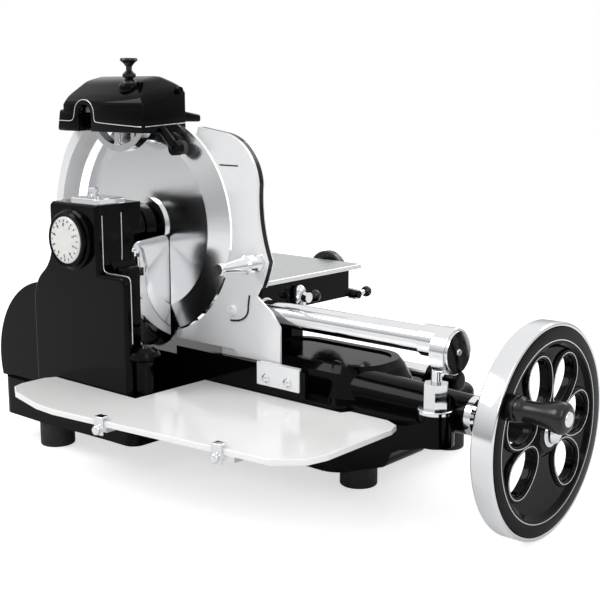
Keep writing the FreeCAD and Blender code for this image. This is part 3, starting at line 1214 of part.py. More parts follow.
def table_lock_post():
    """Upright bright post on the carriage's side, its top rounded."""
    x = CARRIAGE_RIGHT_X + LOCK_POST_R - 2.0
    post = rod_z(x, LOCK_Y, CARRIAGE_SKIRT_Z, CARRIAGE_TOP_Z - 14.0, LOCK_POST_R)
    dome = Part.makeSphere(LOCK_POST_R, V(x, LOCK_Y, CARRIAGE_TOP_Z - 14.0))
    body = post.fuse(dome).removeSplitter()
    wall = box(x - LOCK_POST_R - 1.0, CARRIAGE_RIGHT_X, LOCK_Y - 20.0, LOCK_Y + 20.0,
               CARRIAGE_SKIRT_Z - 1.0, CARRIAGE_TOP_Z)
    bore = rod_x(x, x + LOCK_POST_R + 1.0, LOCK_Y, LOCK_Z, 3.0 + RUN_GAP)
    return body.cut([wall, bore])


def table_lock_lever():
    """Short lever with a ball; its pin turns in the post."""
    post_x = CARRIAGE_RIGHT_X + LOCK_POST_R - 2.0
    x0 = post_x + LOCK_POST_R + FREE_GAP
    pin = rod_x(post_x + 1.0, x0 + 6.0, LOCK_Y, LOCK_Z, 3.0)
    hub = rod_x(x0, x0 + 8.0, LOCK_Y, LOCK_Z, 7.0)
    stalk = rod_y(x0 + 4.0, LOCK_Y, LOCK_Y + LOCK_STALK, LOCK_Z, 3.5)
    ball = Part.makeSphere(LOCK_BALL_R, V(x0 + 4.0, LOCK_Y + LOCK_STALK + LOCK_BALL_R - 2.0, LOCK_Z))
    return pin.fuse([hub, stalk, ball]).removeSplitter()


def feed_lever():
    """Lever behind the carriage: bright collar, stalk and ball, turning on a pin along X."""
    half = REAR_HUB_W / 2.0
    y = rear_lever_y()
    hub = rod_x(REAR_LEVER_X - half, REAR_LEVER_X + half, y, REAR_LEVER_Z, 7.5)
    stalk = rod_y(REAR_LEVER_X, y, y + REAR_STALK, REAR_LEVER_Z, 4.0)
    bore = rod_x(REAR_LEVER_X - half - 1.0, REAR_LEVER_X + half + 1.0, y, REAR_LEVER_Z, REAR_PIN_R + RUN_GAP)
    ball = Part.makeSphere(REAR_BALL_R, V(REAR_LEVER_X, y + REAR_STALK + REAR_BALL_R - 2.0, REAR_LEVER_Z))
    return hub.fuse([stalk, ball]).removeSplitter().cut(bore)


def rear_lever_y():
    return CARRIAGE_REAR_Y + FREE_GAP + 8.0


def feed_lever_pin():
    """Cheek on the carriage's rear wall with the pin that the feed lever turns on."""
    half = REAR_HUB_W / 2.0
    x0 = REAR_LEVER_X - half - FREE_GAP - 4.0
    x1 = REAR_LEVER_X + half + FREE_GAP
    y = rear_lever_y()
    cheek = box(x0, x0 + 4.0, CARRIAGE_REAR_Y - 1.0, y + 6.0, REAR_LEVER_Z - 2.0, REAR_LEVER_Z + 7.0)
    pin = rod_x(x0, x1 + 2.0, y, REAR_LEVER_Z, REAR_PIN_R)
    head = rod_x(x1, x1 + 2.0, y, REAR_LEVER_Z, REAR_PIN_R + 2.5)
    return pin.fuse([cheek, head]).removeSplitter()


# ================================================================ slice tray
def slice_tray():
    """Flat tray with cut corners, notched round the column and stepped along the base."""
    z = TRAY_Z - TRAY_T
    back = BASE_FRONT_Y - TRAY_GAP
    column_y = COLUMN_FRONT_Y - TRAY_GAP
    notch_x = SHOULDER_RIGHT_X + PILASTER_R + TRAY_GAP
    arm_y = ARM_FRONT_Y - TRAY_GAP
    right = TRAY_RIGHT_X
    turn_x = right - 36.0
    points = [V(TRAY_LEFT_X, column_y - 14.0, z), V(TRAY_LEFT_X + 8.0, column_y, z),
              V(notch_x, column_y, z), V(notch_x, back, z), V(TRAY_STEP_X, back, z),
              V(TRAY_STEP_X + 6.0, arm_y, z), V(right - 27.0, arm_y, z), V(right - 8.0, arm_y - 9.0, z),
              V(right - 2.0, arm_y - 26.0, z), V(right, -144.0, z), V(right - 6.0, -170.0, z),
              V(turn_x, tray_front_y(turn_x), z), V(TRAY_FRONT_X, TRAY_FRONT_Y, z),
              V(TRAY_FRONT_X - 37.0, TRAY_FRONT_Y + 2.0, z), V(TRAY_LEFT_X + 31.0, TRAY_FRONT_Y + 18.0, z),
              V(TRAY_LEFT_X + 6.0, TRAY_FRONT_Y + 34.0, z), V(TRAY_LEFT_X, TRAY_FRONT_Y + 49.0, z)]
    plate = face_of(points).extrude(V(0, 0, TRAY_T))
    return round_edges(plate, 1.5, at_height(TRAY_Z))


def tray_front_y(x):
    """The tray's front edge runs slightly askew to the base."""
    return TRAY_FRONT_Y + TRAY_SKEW * (x - TRAY_FRONT_X)


def tray_arms():
    """Two flat arms from the base's front wall that carry the tray."""
    arms = []
    top = TRAY_Z - TRAY_T
    half = TRAY_ARM_W / 2.0
    for x in ARM_XS:
        arms.append(box(x - half, x + half, tray_front_y(x - half), BASE_FRONT_Y, top - TRAY_ARM_T, top))
    return Part.makeCompound(arms)


def tray_clips():
    """Bent clips over the tray's front edge, one at the end of each arm."""
    clips = []
    half = TRAY_ARM_W / 2.0
    t = CLIP_T
    for x in ARM_XS:
        y1 = tray_front_y(x - half)
        drop = box(x - half, x + half, y1 - t, y1, TRAY_Z + t - CLIP_DROP, TRAY_Z + t)
        lip = box(x - half, x + half, y1 - t, y1 + CLIP_LIP, TRAY_Z, TRAY_Z + t)
        clips.append(drop.fuse(lip).removeSplitter())
    return Part.makeCompound(clips)


# ================================================================ gauge plate
def gauge_plate():
    """Plate beside the blade: round cut-out for the blade, wavy outer edge, foot on guide pins."""
    y = GAUGE_FRONT_Y
    foot_r = GAUGE_FOOT_RIGHT_X
    low_z = GAUGE_FOOT_Z
    foot_angle = -math.degrees(math.acos(GAUGE_FOOT_LEFT_X / GAUGE_CUT_R))
    start = on_circle(0.0, y, BLADE_AXIS_Z, GAUGE_CUT_R, 55.0)
    end = on_circle(0.0, y, BLADE_AXIS_Z, GAUGE_CUT_R, foot_angle)
    middle = on_circle(0.0, y, BLADE_AXIS_Z, GAUGE_CUT_R, (55.0 + foot_angle) / 2.0)
    cut = GAUGE_CUT_R
    top_left = V(start.x + 0.026 * cut, y, BLADE_AXIS_Z + 0.889 * cut)
    shoulder_a = V(0.928 * cut, y, BLADE_AXIS_Z + 0.843 * cut)
    shoulder_b = V(1.203 * cut, y, BLADE_AXIS_Z + 0.68 * cut)
    shoulder_c = V(1.301 * cut, y, BLADE_AXIS_Z + 0.431 * cut)
    waist_in = V(1.307 * cut, y, BLADE_AXIS_Z + 0.131 * cut)
    nose = V(1.405 * cut, y, BLADE_AXIS_Z - 0.222 * cut)
    hip_in = V(1.359 * cut, y, BLADE_AXIS_Z - 0.366 * cut)
    waist = V(1.281 * cut, y, BLADE_AXIS_Z - 0.523 * cut)
    knee = V(1.451 * cut, y, BLADE_AXIS_Z - 0.64 * cut)
    corner = V(foot_r, y, BLADE_AXIS_Z - 0.758 * cut)
    step = V(GAUGE_PIN_XS[0] + GAUGE_LUG_REACH, y, low_z)
    heel = V(step.x + low_z - GAUGE_BOTTOM_Z, y, GAUGE_BOTTOM_Z)
    side = Part.BSplineCurve()
    side.interpolate([shoulder_c, waist_in, nose])
    hip = Part.BSplineCurve()
    hip.interpolate([nose, hip_in, waist])
    edges = [arc(start, middle, end), line(end, V(end.x, y, low_z)),
             line(V(end.x, y, low_z), step), line(step, heel),
             line(heel, V(foot_r, y, GAUGE_BOTTOM_Z)),
             line(V(foot_r, y, GAUGE_BOTTOM_Z), corner), line(corner, knee), line(knee, waist),
             Part.Edge(hip.toShape()), Part.Edge(side.toShape()), arc(shoulder_c, shoulder_b, shoulder_a),
             line(shoulder_a, top_left), line(top_left, start)]
    outline = Part.Wire(Part.__sortEdges__(edges))
    plate = Part.Face(outline).extrude(V(0, GAUGE_T, 0))
    edge_room = box(0.0, 2.0 * foot_r, y, y + GAUGE_EDGE_T, GAUGE_EDGE_Z, BLADE_AXIS_Z + GAUGE_CUT_R)
    edge = Part.Face(outline).extrude(V(0, GAUGE_EDGE_T, 0)).common(edge_room)
    plate = plate.fuse(edge).removeSplitter()
    lug = box(GAUGE_PIN_XS[0] - GAUGE_LUG_REACH, GAUGE_PIN_XS[1] + GAUGE_LUG_REACH, GAUGE_BACK_Y,
              GAUGE_BACK_Y + GAUGE_LUG_T, TUNNEL_TOP_Z + 1.0, GAUGE_FOOT_Z + GAUGE_LUG_RISE)
    bores = [rod_y(x, GAUGE_BACK_Y - 1.0, GAUGE_BACK_Y + GAUGE_LUG_T + 1.0, GAUGE_PIN_Z, GAUGE_PIN_R + RUN_GAP)
             for x in GAUGE_PIN_XS]
    stem_hole = rod_y(GAUGE_KNOB_X, y - 1.0, GAUGE_EDGE_Y + 1.0, GAUGE_KNOB_Z, 4.0 + RUN_GAP)
    return plate.fuse(lug).cut(bores + [stem_hole])


def gauge_plate_pins():
    pins = [rod_y(x, BASE_FRONT_Y + 3.0, GAUGE_BACK_Y + GAUGE_LUG_T + 6.0, GAUGE_PIN_Z, GAUGE_PIN_R)
            for x in GAUGE_PIN_XS]
    return Part.makeCompound(pins)


def gauge_bracket():
    """Bent sheet on the base's front wall, its upper flange lying on the sill."""
    t = BRACKET_T
    front = rounded_block(BRACKET_LEFT_X, BRACKET_RIGHT_X, BASE_FRONT_Y - t, BASE_FRONT_Y,
                          SILL_TOP_Z + t - BRACKET_H, SILL_TOP_Z + t, 1.0)
    flange = box(BRACKET_LEFT_X + t, BRACKET_RIGHT_X - t, BASE_FRONT_Y - t / 2.0,
                 BASE_FRONT_Y + BRACKET_FLANGE_W, SILL_TOP_Z, SILL_TOP_Z + t)
    return front.fuse(flange).removeSplitter()


def gauge_bracket_screws():
    y0 = BASE_FRONT_Y - BRACKET_T
    z = SILL_TOP_Z - 0.55 * BRACKET_H
    r = BRACKET_SCREW_R
    screws = []
    for x in (BRACKET_LEFT_X + 17.0, BRACKET_RIGHT_X - 19.0):
        screws.append(turned_y([(0, y0), (r, y0), (r, y0 - 1.5), (r - 1.8, y0 - 4.0), (r - 4.0, y0 - 5.0),
                                (0, y0 - 5.0)], x, z))
    return Part.makeCompound(screws)


def gauge_knob():
    """Long tapered hand screw on the gauge plate, its stem passing through the plate."""
    y1 = GAUGE_FRONT_Y - FREE_GAP
    y0 = y1 - GAUGE_KNOB_LEN
    r = GAUGE_KNOB_R
    tip = GAUGE_KNOB_TIP_R
    back = GAUGE_EDGE_Y + 1.0
    profile = [(0, y0), (tip - 1.0, y0), (tip, y0 + 1.5), (tip, y0 + 6.0), (tip - 2.0, y0 + 8.0),
               (r - 2.0, y1 - 28.0), (r, y1 - 24.0), (r, y1 - 12.0), (r - 4.0, y1 - 8.0), (r - 1.0, y1 - 4.0),
               (r - 1.0, y1), (4.0, y1), (4.0, back), (0, back)]
    return turned_y(profile, GAUGE_KNOB_X, GAUGE_KNOB_Z)


# ================================================================ blade guard ring
def guard_ring():
    """Part ring of channel section round the blade's upper left, open towards the blade's back."""
    w = RING_WALL
    profile = [(RING_OUTER_R, RING_BACK_Y), (RING_OUTER_R, RING_FRONT_Y + 2.0),
               (RING_OUTER_R - 2.0, RING_FRONT_Y),
               (RING_FACE_R, RING_FRONT_Y), (RING_INNER_R, RING_LIP_Y), (RING_INNER_R + w, RING_LIP_Y),
               (RING_FACE_R + 1.5, RING_FRONT_Y + w), (RING_OUTER_R - w, RING_FRONT_Y + w),
               (RING_OUTER_R - w, RING_BACK_Y)]
    face = face_of([V(r, y, BLADE_AXIS_Z) for r, y in profile])
    ring = face.revolve(V(0, 0, BLADE_AXIS_Z), V(0, -1, 0), RING_END - RING_START)
    ring.rotate(V(0, 0, BLADE_AXIS_Z), V(0, -1, 0), RING_START)
    return ring


def guard_ring_studs():
    studs = []
    r = (RING_OUTER_R + RING_FACE_R) / 2.0
    for angle in RING_STUD_ANGLES:
        place = on_circle(0.0, 0.0, BLADE_AXIS_Z, r, angle)
        studs.append(rod_y(place.x, COLUMN_BACK_Y, RING_FRONT_Y, place.z, RING_STUD_R))
    return Part.makeCompound(studs)


# ================================================================ sharpener
def ring_room(gap):
    """Space swept by the guard ring's section, a little larger than the ring itself."""
    profile = [(RING_INNER_R - gap, RING_FRONT_Y - gap), (RING_OUTER_R + gap, RING_FRONT_Y - gap),
               (RING_OUTER_R + gap, RING_BACK_Y + gap), (RING_INNER_R - gap, RING_BACK_Y + gap)]
    face = face_of([V(r, y, BLADE_AXIS_Z) for r, y in profile])
    start = RING_START - 3.0
    room = face.revolve(V(0, 0, BLADE_AXIS_Z), V(0, -1, 0), 180.0 - start)
    room.rotate(V(0, 0, BLADE_AXIS_Z), V(0, -1, 0), start)
    return room


def sharpener_cover():
    """Domed cover over the blade's top, with an arched opening in front and a tail at the rear."""
    x0, x1 = SHARP_LEFT_X, SHARP_RIGHT_X
    y0, y1 = SHARP_FRONT_Y, SHARP_REAR_Y
    low = SHARP_BOTTOM_Z
    crest = arc(V(x0, y0, SHARP_LEFT_Z), V(SHARP_CREST_X, y0, SHARP_TOP_Z), V(x1, y0, SHARP_RIGHT_Z))
    walls = [line(V(x1, y0, SHARP_RIGHT_Z), V(x1, y0, low)), line(V(x1, y0, low), V(x0, y0, low)),
             line(V(x0, y0, low), V(x0, y0, SHARP_LEFT_Z))]
    body = Part.Face(Part.Wire([crest] + walls)).extrude(V(0, y1 - y0, 0))
    body = round_edges(body, SHARP_CORNER_R, lambda e: e.BoundBox.ZMax > low + 1.0)
    foot = rounded_block(x0 - 16.0, x0 + 31.0, y0 + 1.0, y0 + 30.0, low, low + 24.0, 5.0)
    foot = round_edges(foot, 4.0, at_height(low + 24.0))
    tail_x = x1 - SHARP_TAIL_W - 1.0
    tail_points = [V(tail_x, y1 - 12.0, low + 14.0), V(tail_x, y1 - 12.0, low + 36.0),
                   V(tail_x, y1 - 3.0, low + 36.0), V(tail_x, SHARP_TAIL_Y, low + 20.0),
                   V(tail_x, SHARP_TAIL_Y, low + 9.0)]
    tail = face_of(tail_points).extrude(V(SHARP_TAIL_W, 0, 0))
    body = body.fuse([foot, tail])
    w = SHARP_WALL
    room = rounded_block(x0 + w + 3.0, x1 - w, y0 + w, y1 - w, low - 1.0, SHARP_ROOM_Z, SHARP_CORNER_R - w)
    arch = rod_y(SHARP_ARCH_X, y0 - 2.0, y0 + w + 4.0, SHARP_ARCH_Z, SHARP_ARCH_R)
    arch_leg = box(SHARP_ARCH_X - SHARP_ARCH_R, SHARP_ARCH_X + SHARP_ARCH_R, y0 - 2.0, y0 + w + 4.0,
                   low - 1.0, SHARP_ARCH_Z)
    stem_hole = rod_z(KNOB_X, KNOB_Y, SHARP_ROOM_Z - 1.0, SHARP_TOP_Z + 1.0, KNOB_STEM_R + FREE_GAP)
    knob_recess = rod_z(KNOB_X, KNOB_Y, KNOB_FOOT_Z - 4.0 - FREE_GAP, SHARP_TOP_Z + 1.0, KNOB_R + FREE_GAP)
    blade_slot = rod_y(0.0, BLADE_SEAT_Y - OPEN_GAP, OPEN_GAP, BLADE_AXIS_Z, BLADE_R + OPEN_GAP)
    arm_notch = box(x1 - 22.0, x1 + 4.0, STONE_ARM_Y - 9.0, BLADE_SEAT_Y, low - 1.0, low + 22.0)
    return body.cut([room, arch, arch_leg, stem_hole, knob_recess, blade_slot, arm_notch,
                     ring_room(2.0), support_room()])


def support_room():
    return box(SHARP_LEFT_X - 20.0, SHARP_LEFT_X + 30.0, RING_BACK_Y - 2.0, RING_BACK_Y + SUPPORT_T + 2.0,
               SHARP_BOTTOM_Z - 1.0, BRIDGE_Z + BRIDGE_T + 2.0)


def sharpener_support():
    """Fixed bar behind the blade's top, bridging over the blade to the front."""
    z0 = SHARP_BOTTOM_Z + SUPPORT_T + 1.0
    z1 = BRIDGE_Z + BRIDGE_T
    bar_y0 = RING_BACK_Y
    end_x = SHARP_RIGHT_X - SUPPORT_END_GAP
    bar = box(SHARP_LEFT_X + SUPPORT_FOOT_GAP, end_x, bar_y0, bar_y0 + SUPPORT_T, z0, z1)
    bridge = box(SHARP_LEFT_X + BRIDGE_START_GAP, SHARP_RIGHT_X - BRIDGE_END_GAP, STRAP_Y - STRAP_W / 2.0,
                 bar_y0 + 1.0, BRIDGE_Z, z1)
    bore = rod_z(KNOB_X, KNOB_Y, BRIDGE_Z - 1.0, z1 + 1.0, KNOB_STEM_R + RUN_GAP)
    return bar.fuse(bridge).removeSplitter().cut(bore)


def sharpener_strap():
    """Shallow U of bright bar in front of the blade, its ends turned up to the bridge, with two posts."""
    y = STRAP_Y - STRAP_W / 2.0
    low = STRAP_LOW_Z
    t = STRAP_T
    half = STRAP_HALF
    x = STRAP_X
    arm = STRAP_T
    rise = low + STRAP_RISE
    outer = arc(V(x - half, y, rise), V(x, y, low), V(x + half, y, rise))
    inner = arc(V(x + half - arm, y, rise + 1.0), V(x, y, low + t), V(x - half + arm, y, rise + 1.0))
    edges = [outer, line(V(x + half, y, rise), V(x + half, y, BRIDGE_Z)),
             line(V(x + half, y, BRIDGE_Z), V(x + half - arm, y, BRIDGE_Z)),
             line(V(x + half - arm, y, BRIDGE_Z), V(x + half - arm, y, rise + 1.0)), inner,
             line(V(x - half + arm, y, rise + 1.0), V(x - half + arm, y, BRIDGE_Z)),
             line(V(x - half + arm, y, BRIDGE_Z), V(x - half, y, BRIDGE_Z)),
             line(V(x - half, y, BRIDGE_Z), V(x - half, y, rise))]
    strap = Part.Face(Part.Wire(edges)).extrude(V(0, STRAP_W, 0))
    posts = [rod_z(x - k * t, STRAP_Y, low + t / 2.0, BRIDGE_Z, STRAP_POST_R) for k in STRAP_POST_STEPS]
    return strap.fuse(posts)


def sharpener_knob():
    z = KNOB_FOOT_Z
    r = KNOB_R
    h = KNOB_H
    profile = [(0, BRIDGE_Z - 2.0), (KNOB_STEM_R, BRIDGE_Z - 2.0), (KNOB_STEM_R, z - 4.0), (r - 1.0, z - 4.0),
               (r, z), (r - 1.0, z + 3.0), (r - 7.0, z + 6.0), (r - 3.0, z + 9.0), (r - 3.0, z + 12.0),
               (r - 8.0, z + 17.0), (r - 8.0, z + 22.0), (r - 4.0, z + 27.0), (r, z + 30.0), (r - 1.0, z + h),
               (0, z + h)]
    return turned_z(profile, KNOB_X, KNOB_Y)


def stone_place():
    """Where the finishing stone faces the blade's bevel."""
    r = BLADE_BEVEL_INNER_R + 16.0
    return on_circle(0.0, 0.0, BLADE_AXIS_Z, r, STONE_ANGLE)


def stone_arm():
    """Bent arm from the bridge to the finishing stone, ending in a round holder."""
    place = stone_place()
    y = STONE_ARM_Y
    corner = V(SHARP_RIGHT_X - 16.0, y, SHARP_BOTTOM_Z + 16.0)
    bend = V(corner.x + 18.0, y, corner.z - 14.0)
    end = V(place.x, y, place.z)
    upper = Part.makeCylinder(STONE_ARM_R, BRIDGE_Z - corner.z, corner, Z_DIR)
    parts = []
    for a, b in ((corner, bend), (bend, end)):
        parts.append(Part.makeCylinder(STONE_ARM_R, (b - a).Length, a, b - a))
        parts.append(Part.makeSphere(STONE_ARM_R, a))
    holder = rod_y(place.x, y - 4.0, stone_back_y() - FREE_GAP, place.z, STONE_R + 1.0)
    pin = rod_y(place.x, y, stone_back_y() + STONE_T - 2.0, place.z, 2.5)
    return upper.fuse(parts + [holder, pin]).removeSplitter()


def stone_back_y():
    """Back face of the stone; parked, its other face stays clear of the bevel."""
    return BLADE_SEAT_Y - OPEN_GAP - STONE_T


def finishing_stone():
    place = stone_place()
    y0 = stone_back_y()
    stone = rod_y(place.x, y0, y0 + STONE_T, place.z, STONE_R)
    return stone.cut(rod_y(place.x, y0 - 1.0, y0 + STONE_T - 2.0, place.z, 2.5 + RUN_GAP))


# ================================================================ slice deflector
def deflector_x(z):
    """The deflector leans: its foot stands a little further right than its top."""
    lean = (DEFLECTOR_LOW_X - DEFLECTOR_TOP_X) / (DEFLECTOR_TOP_Z - DEFLECTOR_LOW_Z)
    return DEFLECTOR_TOP_X + lean * (DEFLECTOR_TOP_Z - z)


def slice_deflector():
    """Thin bright plate that stands across the blade and leads the slice to the tray."""

    def spot(y, z):
        return V(deflector_x(z), y, z)

    top = DEFLECTOR_TOP_Z
    low = DEFLECTOR_LOW_Z
    front = DEFLECTOR_FRONT_Y
    edge = DEFLECTOR_EDGE_Y
    r = DEFLECTOR_ROUND
    k = r * (1.0 - math.sqrt(0.5))
    edges = [line(spot(front, low), spot(front, top - r)),
             arc(spot(front, top - r), spot(front + k, top - k), spot(front + r, top)),
             line(spot(front + r, top), spot(edge - r, top)),
             arc(spot(edge - r, top), spot(edge - k, top - k), spot(edge, top - r)),
             line(spot(edge, top - r), spot(edge, low + r)), line(spot(edge, low + r), spot(edge - r, low)),
             line(spot(edge - r, low), spot(front, low))]
    plate = Part.Face(Part.Wire(edges)).extrude(V(DEFLECTOR_T, 0, 0))
    z0 = DEFLECTOR_PIN_Z - DEFLECTOR_PIN_R - OPEN_GAP
    notch = box(DEFLECTOR_TOP_X - 1.0, DEFLECTOR_LOW_X + 3.0, front - 1.0, DEFLECTOR_PIN_Y + DEFLECTOR_PIN_R + 2.0,
                z0, DEFLECTOR_PIN_Z + DEFLECTOR_PIN_R + OPEN_GAP)
    return plate.cut(notch).fuse(deflector_clip())


def deflector_clip():
    """Block on the plate that sits on the pin's upright leg."""
    x0 = DEFLECTOR_PIN_X - DEFLECTOR_CLIP_HALF
    z0 = DEFLECTOR_PIN_Z + DEFLECTOR_PIN_R + OPEN_GAP
    z1 = z0 + DEFLECTOR_CLIP_H
    plate_x = deflector_x(z0) + DEFLECTOR_T / 2.0
    block = box(x0, plate_x, DEFLECTOR_PIN_Y - DEFLECTOR_CLIP_HALF, DEFLECTOR_PIN_Y + 2.0 * DEFLECTOR_CLIP_HALF,
                z0, z1)
    return block.cut(rod_z(DEFLECTOR_PIN_X, DEFLECTOR_PIN_Y, z0 - 1.0, z1 + 1.0, DEFLECTOR_PIN_R + RUN_GAP))


def deflector_pin():
    """Bent pin: level leg in the gear case cover, upright leg in the clip."""
    leg = rod_y(DEFLECTOR_PIN_X, COLUMN_BACK_Y, DEFLECTOR_PIN_Y, DEFLECTOR_PIN_Z, DEFLECTOR_PIN_R)
    knee = Part.makeSphere(DEFLECTOR_PIN_R, V(DEFLECTOR_PIN_X, DEFLECTOR_PIN_Y, DEFLECTOR_PIN_Z))
    upright = rod_z(DEFLECTOR_PIN_X, DEFLECTOR_PIN_Y, DEFLECTOR_PIN_Z, DEFLECTOR_PIN_Z + DEFLECTOR_PIN_H,
                    DEFLECTOR_PIN_R)
    return leg.fuse([knee, upright]).removeSplitter()


# ================================================================ assembly
NODES = {
    "base_casting": base_casting,
    "base_plate": base_plate,
    "rubber_feet": rubber_feet,
    "column_housing": column_housing,
    "gear_case_cover": gear_case_cover,
    "column_top_plate": column_top_plate,
    "oil_cap": oil_cap,
    "hub_ring": hub_ring,
    "dial_bezel": dial_bezel,
    "thickness_dial": thickness_dial,
    "blade": blade,
    "blade_shaft": blade_shaft,
    "blade_screws": blade_screws,
    "blade_bushes": blade_bushes,
    "blade_pinion": blade_pinion,
    "idler_gear": idler_gear,
    "idler_pin": idler_pin,
    "drive_gear": drive_gear,
    "cross_shaft": cross_shaft,
    "cross_bushes": cross_bushes,
    "cross_bevel_gear": cross_bevel_gear,
    "main_bevel_gear": main_bevel_gear,
    "main_shaft": main_shaft,
    "main_bushes": main_bushes,
    "neck_collar": neck_collar,
    "flywheel": flywheel,
    "wheel_cap": wheel_cap,
    "handle_pin": handle_pin,
    "handle_grip": handle_grip,
    "guide_tube": guide_tube,
    "guide_tube_head": guide_tube_head,
    "pillar": pillar,
    "rear_rail": rear_rail,
    "carriage_body": carriage_body,
    "carriage_sleeve": carriage_sleeve,
    "table_plate": table_plate,
    "table_runner": table_runner,
    "feed_screw": feed_screw,
    "feed_knob": feed_knob,
    "table_lock_post": table_lock_post,
    "table_lock_lever": table_lock_lever,
    "feed_lever": feed_lever,
    "slice_tray": slice_tray,
    "tray_arms": tray_arms,
    "tray_clips": tray_clips,
    "gauge_plate": gauge_plate,
    "gauge_plate_pins": gauge_plate_pins,
    "gauge_bracket": gauge_bracket,
    "gauge_bracket_screws": gauge_bracket_screws,
    "gauge_knob": gauge_knob,
    "guard_ring": guard_ring,
    "guard_ring_studs": guard_ring_studs,
    "sharpener_cover": sharpener_cover,
    "sharpener_support": sharpener_support,
    "sharpener_strap": sharpener_strap,
    "sharpener_knob": sharpener_knob,
    "stone_arm": stone_arm,
    "finishing_stone": finishing_stone,
    "slice_deflector": slice_deflector,
    "deflector_pin": deflector_pin,
}


def centred(shapes):
    """Shift all shapes so that the origin lies on the floor under the middle of their common box."""
    whole = FreeCAD.BoundBox()
    for shape in shapes.values():
        whole.add(shape.optimalBoundingBox(True, False))
    shift = V(-whole.Center.x, -whole.Center.y, -whole.ZMin)
    for shape in shapes.values():
        shape.translate(shift)
    return shift


def main():
    os.makedirs("parts", exist_ok=True)
    shapes = {}
    for name, make in NODES.items():
        shapes[name] = make()
    shift = centred(shapes)
    for name, shape in shapes.items():
        shape.exportStep("parts/" + name + ".step")
        print("%-22s %2d solids %10.0f mm3 valid %s" % (name, len(shape.Solids), shape.Volume, shape.isValid()))
    print("shift", shift.x, shift.y, shift.z)


main()
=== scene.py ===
import json
import math

import bmesh
import bpy
from mathutils import Matrix, Vector


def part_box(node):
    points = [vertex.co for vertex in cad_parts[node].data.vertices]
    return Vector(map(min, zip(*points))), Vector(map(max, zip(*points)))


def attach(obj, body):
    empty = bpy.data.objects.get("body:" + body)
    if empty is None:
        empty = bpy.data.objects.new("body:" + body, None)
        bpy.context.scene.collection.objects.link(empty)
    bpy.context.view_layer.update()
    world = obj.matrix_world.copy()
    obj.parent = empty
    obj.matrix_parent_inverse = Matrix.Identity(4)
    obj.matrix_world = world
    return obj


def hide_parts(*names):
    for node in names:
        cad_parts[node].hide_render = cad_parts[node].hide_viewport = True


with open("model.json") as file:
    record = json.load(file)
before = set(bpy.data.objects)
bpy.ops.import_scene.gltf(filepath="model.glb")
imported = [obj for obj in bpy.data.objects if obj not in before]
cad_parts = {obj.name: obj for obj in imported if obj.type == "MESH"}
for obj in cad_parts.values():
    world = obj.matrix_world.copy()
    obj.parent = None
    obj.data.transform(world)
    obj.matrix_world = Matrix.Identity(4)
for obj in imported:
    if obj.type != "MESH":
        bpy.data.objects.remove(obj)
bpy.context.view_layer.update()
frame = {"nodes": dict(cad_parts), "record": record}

# A hand cranked slicer: black stove enamel, polished steel and chrome plate on a pale floor.
# Lengths are in metres. The coordinates given to at(), block() and x_of() to z_of() are in millimetres.

nodes = frame["nodes"]


# ---------------------------------------------------------------- shader helpers
NOISE_LOW, NOISE_HIGH = 0.3, 0.7  # nearly all of a noise pattern lies between these


def lin(code):
    """sRGB hex to a linear colour."""
    parts = [int(code[i:i + 2], 16) / 255.0 for i in (0, 2, 4)]
    return tuple([c / 12.92 if c <= 0.04045 else ((c + 0.055) / 1.055) ** 2.4 for c in parts] + [1.0])


def plug(tree, node, inputs):
    """Fills a node's inputs: another node's output is linked, any other value is written in."""
    for key, value in inputs.items():
        if isinstance(value, bpy.types.NodeSocket):
            tree.links.new(value, node.inputs[key])
        else:
            node.inputs[key].default_value = value


def add(tree, kind, inputs=None, **settings):
    """Adds a node and gives it its settings and inputs."""
    new = tree.nodes.new(kind)
    for key, value in settings.items():
        setattr(new, key, value)
    plug(tree, new, inputs or {})
    return new


def emptied(owner):
    """Node tree of a material or world, switched on and emptied."""
    owner.use_nodes = True
    owner.node_tree.nodes.clear()
    return owner.node_tree


def blank(name):
    """New material with a Principled shader; returns material, tree, shader and Object coordinates."""
    material = bpy.data.materials.new(name)
    tree = emptied(material)
    shader = add(tree, "ShaderNodeBsdfPrincipled")
    add(tree, "ShaderNodeOutputMaterial", {"Surface": shader.outputs["BSDF"]})
    return material, tree, shader, add(tree, "ShaderNodeTexCoord").outputs["Object"]


def noise(tree, place, scale, detail=3.0, rough=0.5):
    """Noise from 0 to 1, its scale counted per metre."""
    return add(tree, "ShaderNodeTexNoise",
               {"Vector": place, "Scale": scale, "Detail": detail, "Roughness": rough}).outputs["Fac"]


def between(tree, pattern, low, high):
    """Stretches a noise pattern to the range low..high."""
    return add(tree, "ShaderNodeMapRange", {"Value": pattern, "From Min": NOISE_LOW, "From Max": NOISE_HIGH,
                                            "To Min": low, "To Max": high}).outputs["Result"]


def bump(tree, height, strength, distance):
    return add(tree, "ShaderNodeBump",
               {"Height": height, "Strength": strength, "Distance": distance}).outputs["Normal"]


def blend(tree, factor, first, second):
    """Colour that goes from the first to the second as the factor goes from 0 to 1."""
    return add(tree, "ShaderNodeMix", {"Factor": factor, "A": first, "B": second},
               data_type="RGBA").outputs["Result"]


def two_tone(tree, factor, first, second):
    """The same between two hex colours."""
    return blend(tree, factor, lin(first), lin(second))


def compute(tree, operation, first, second):
    return add(tree, "ShaderNodeMath", {0: first, 1: second}, operation=operation).outputs["Value"]


def depth_of(tree, place):
    return add(tree, "ShaderNodeSeparateXYZ", {"Vector": place}).outputs["Y"]


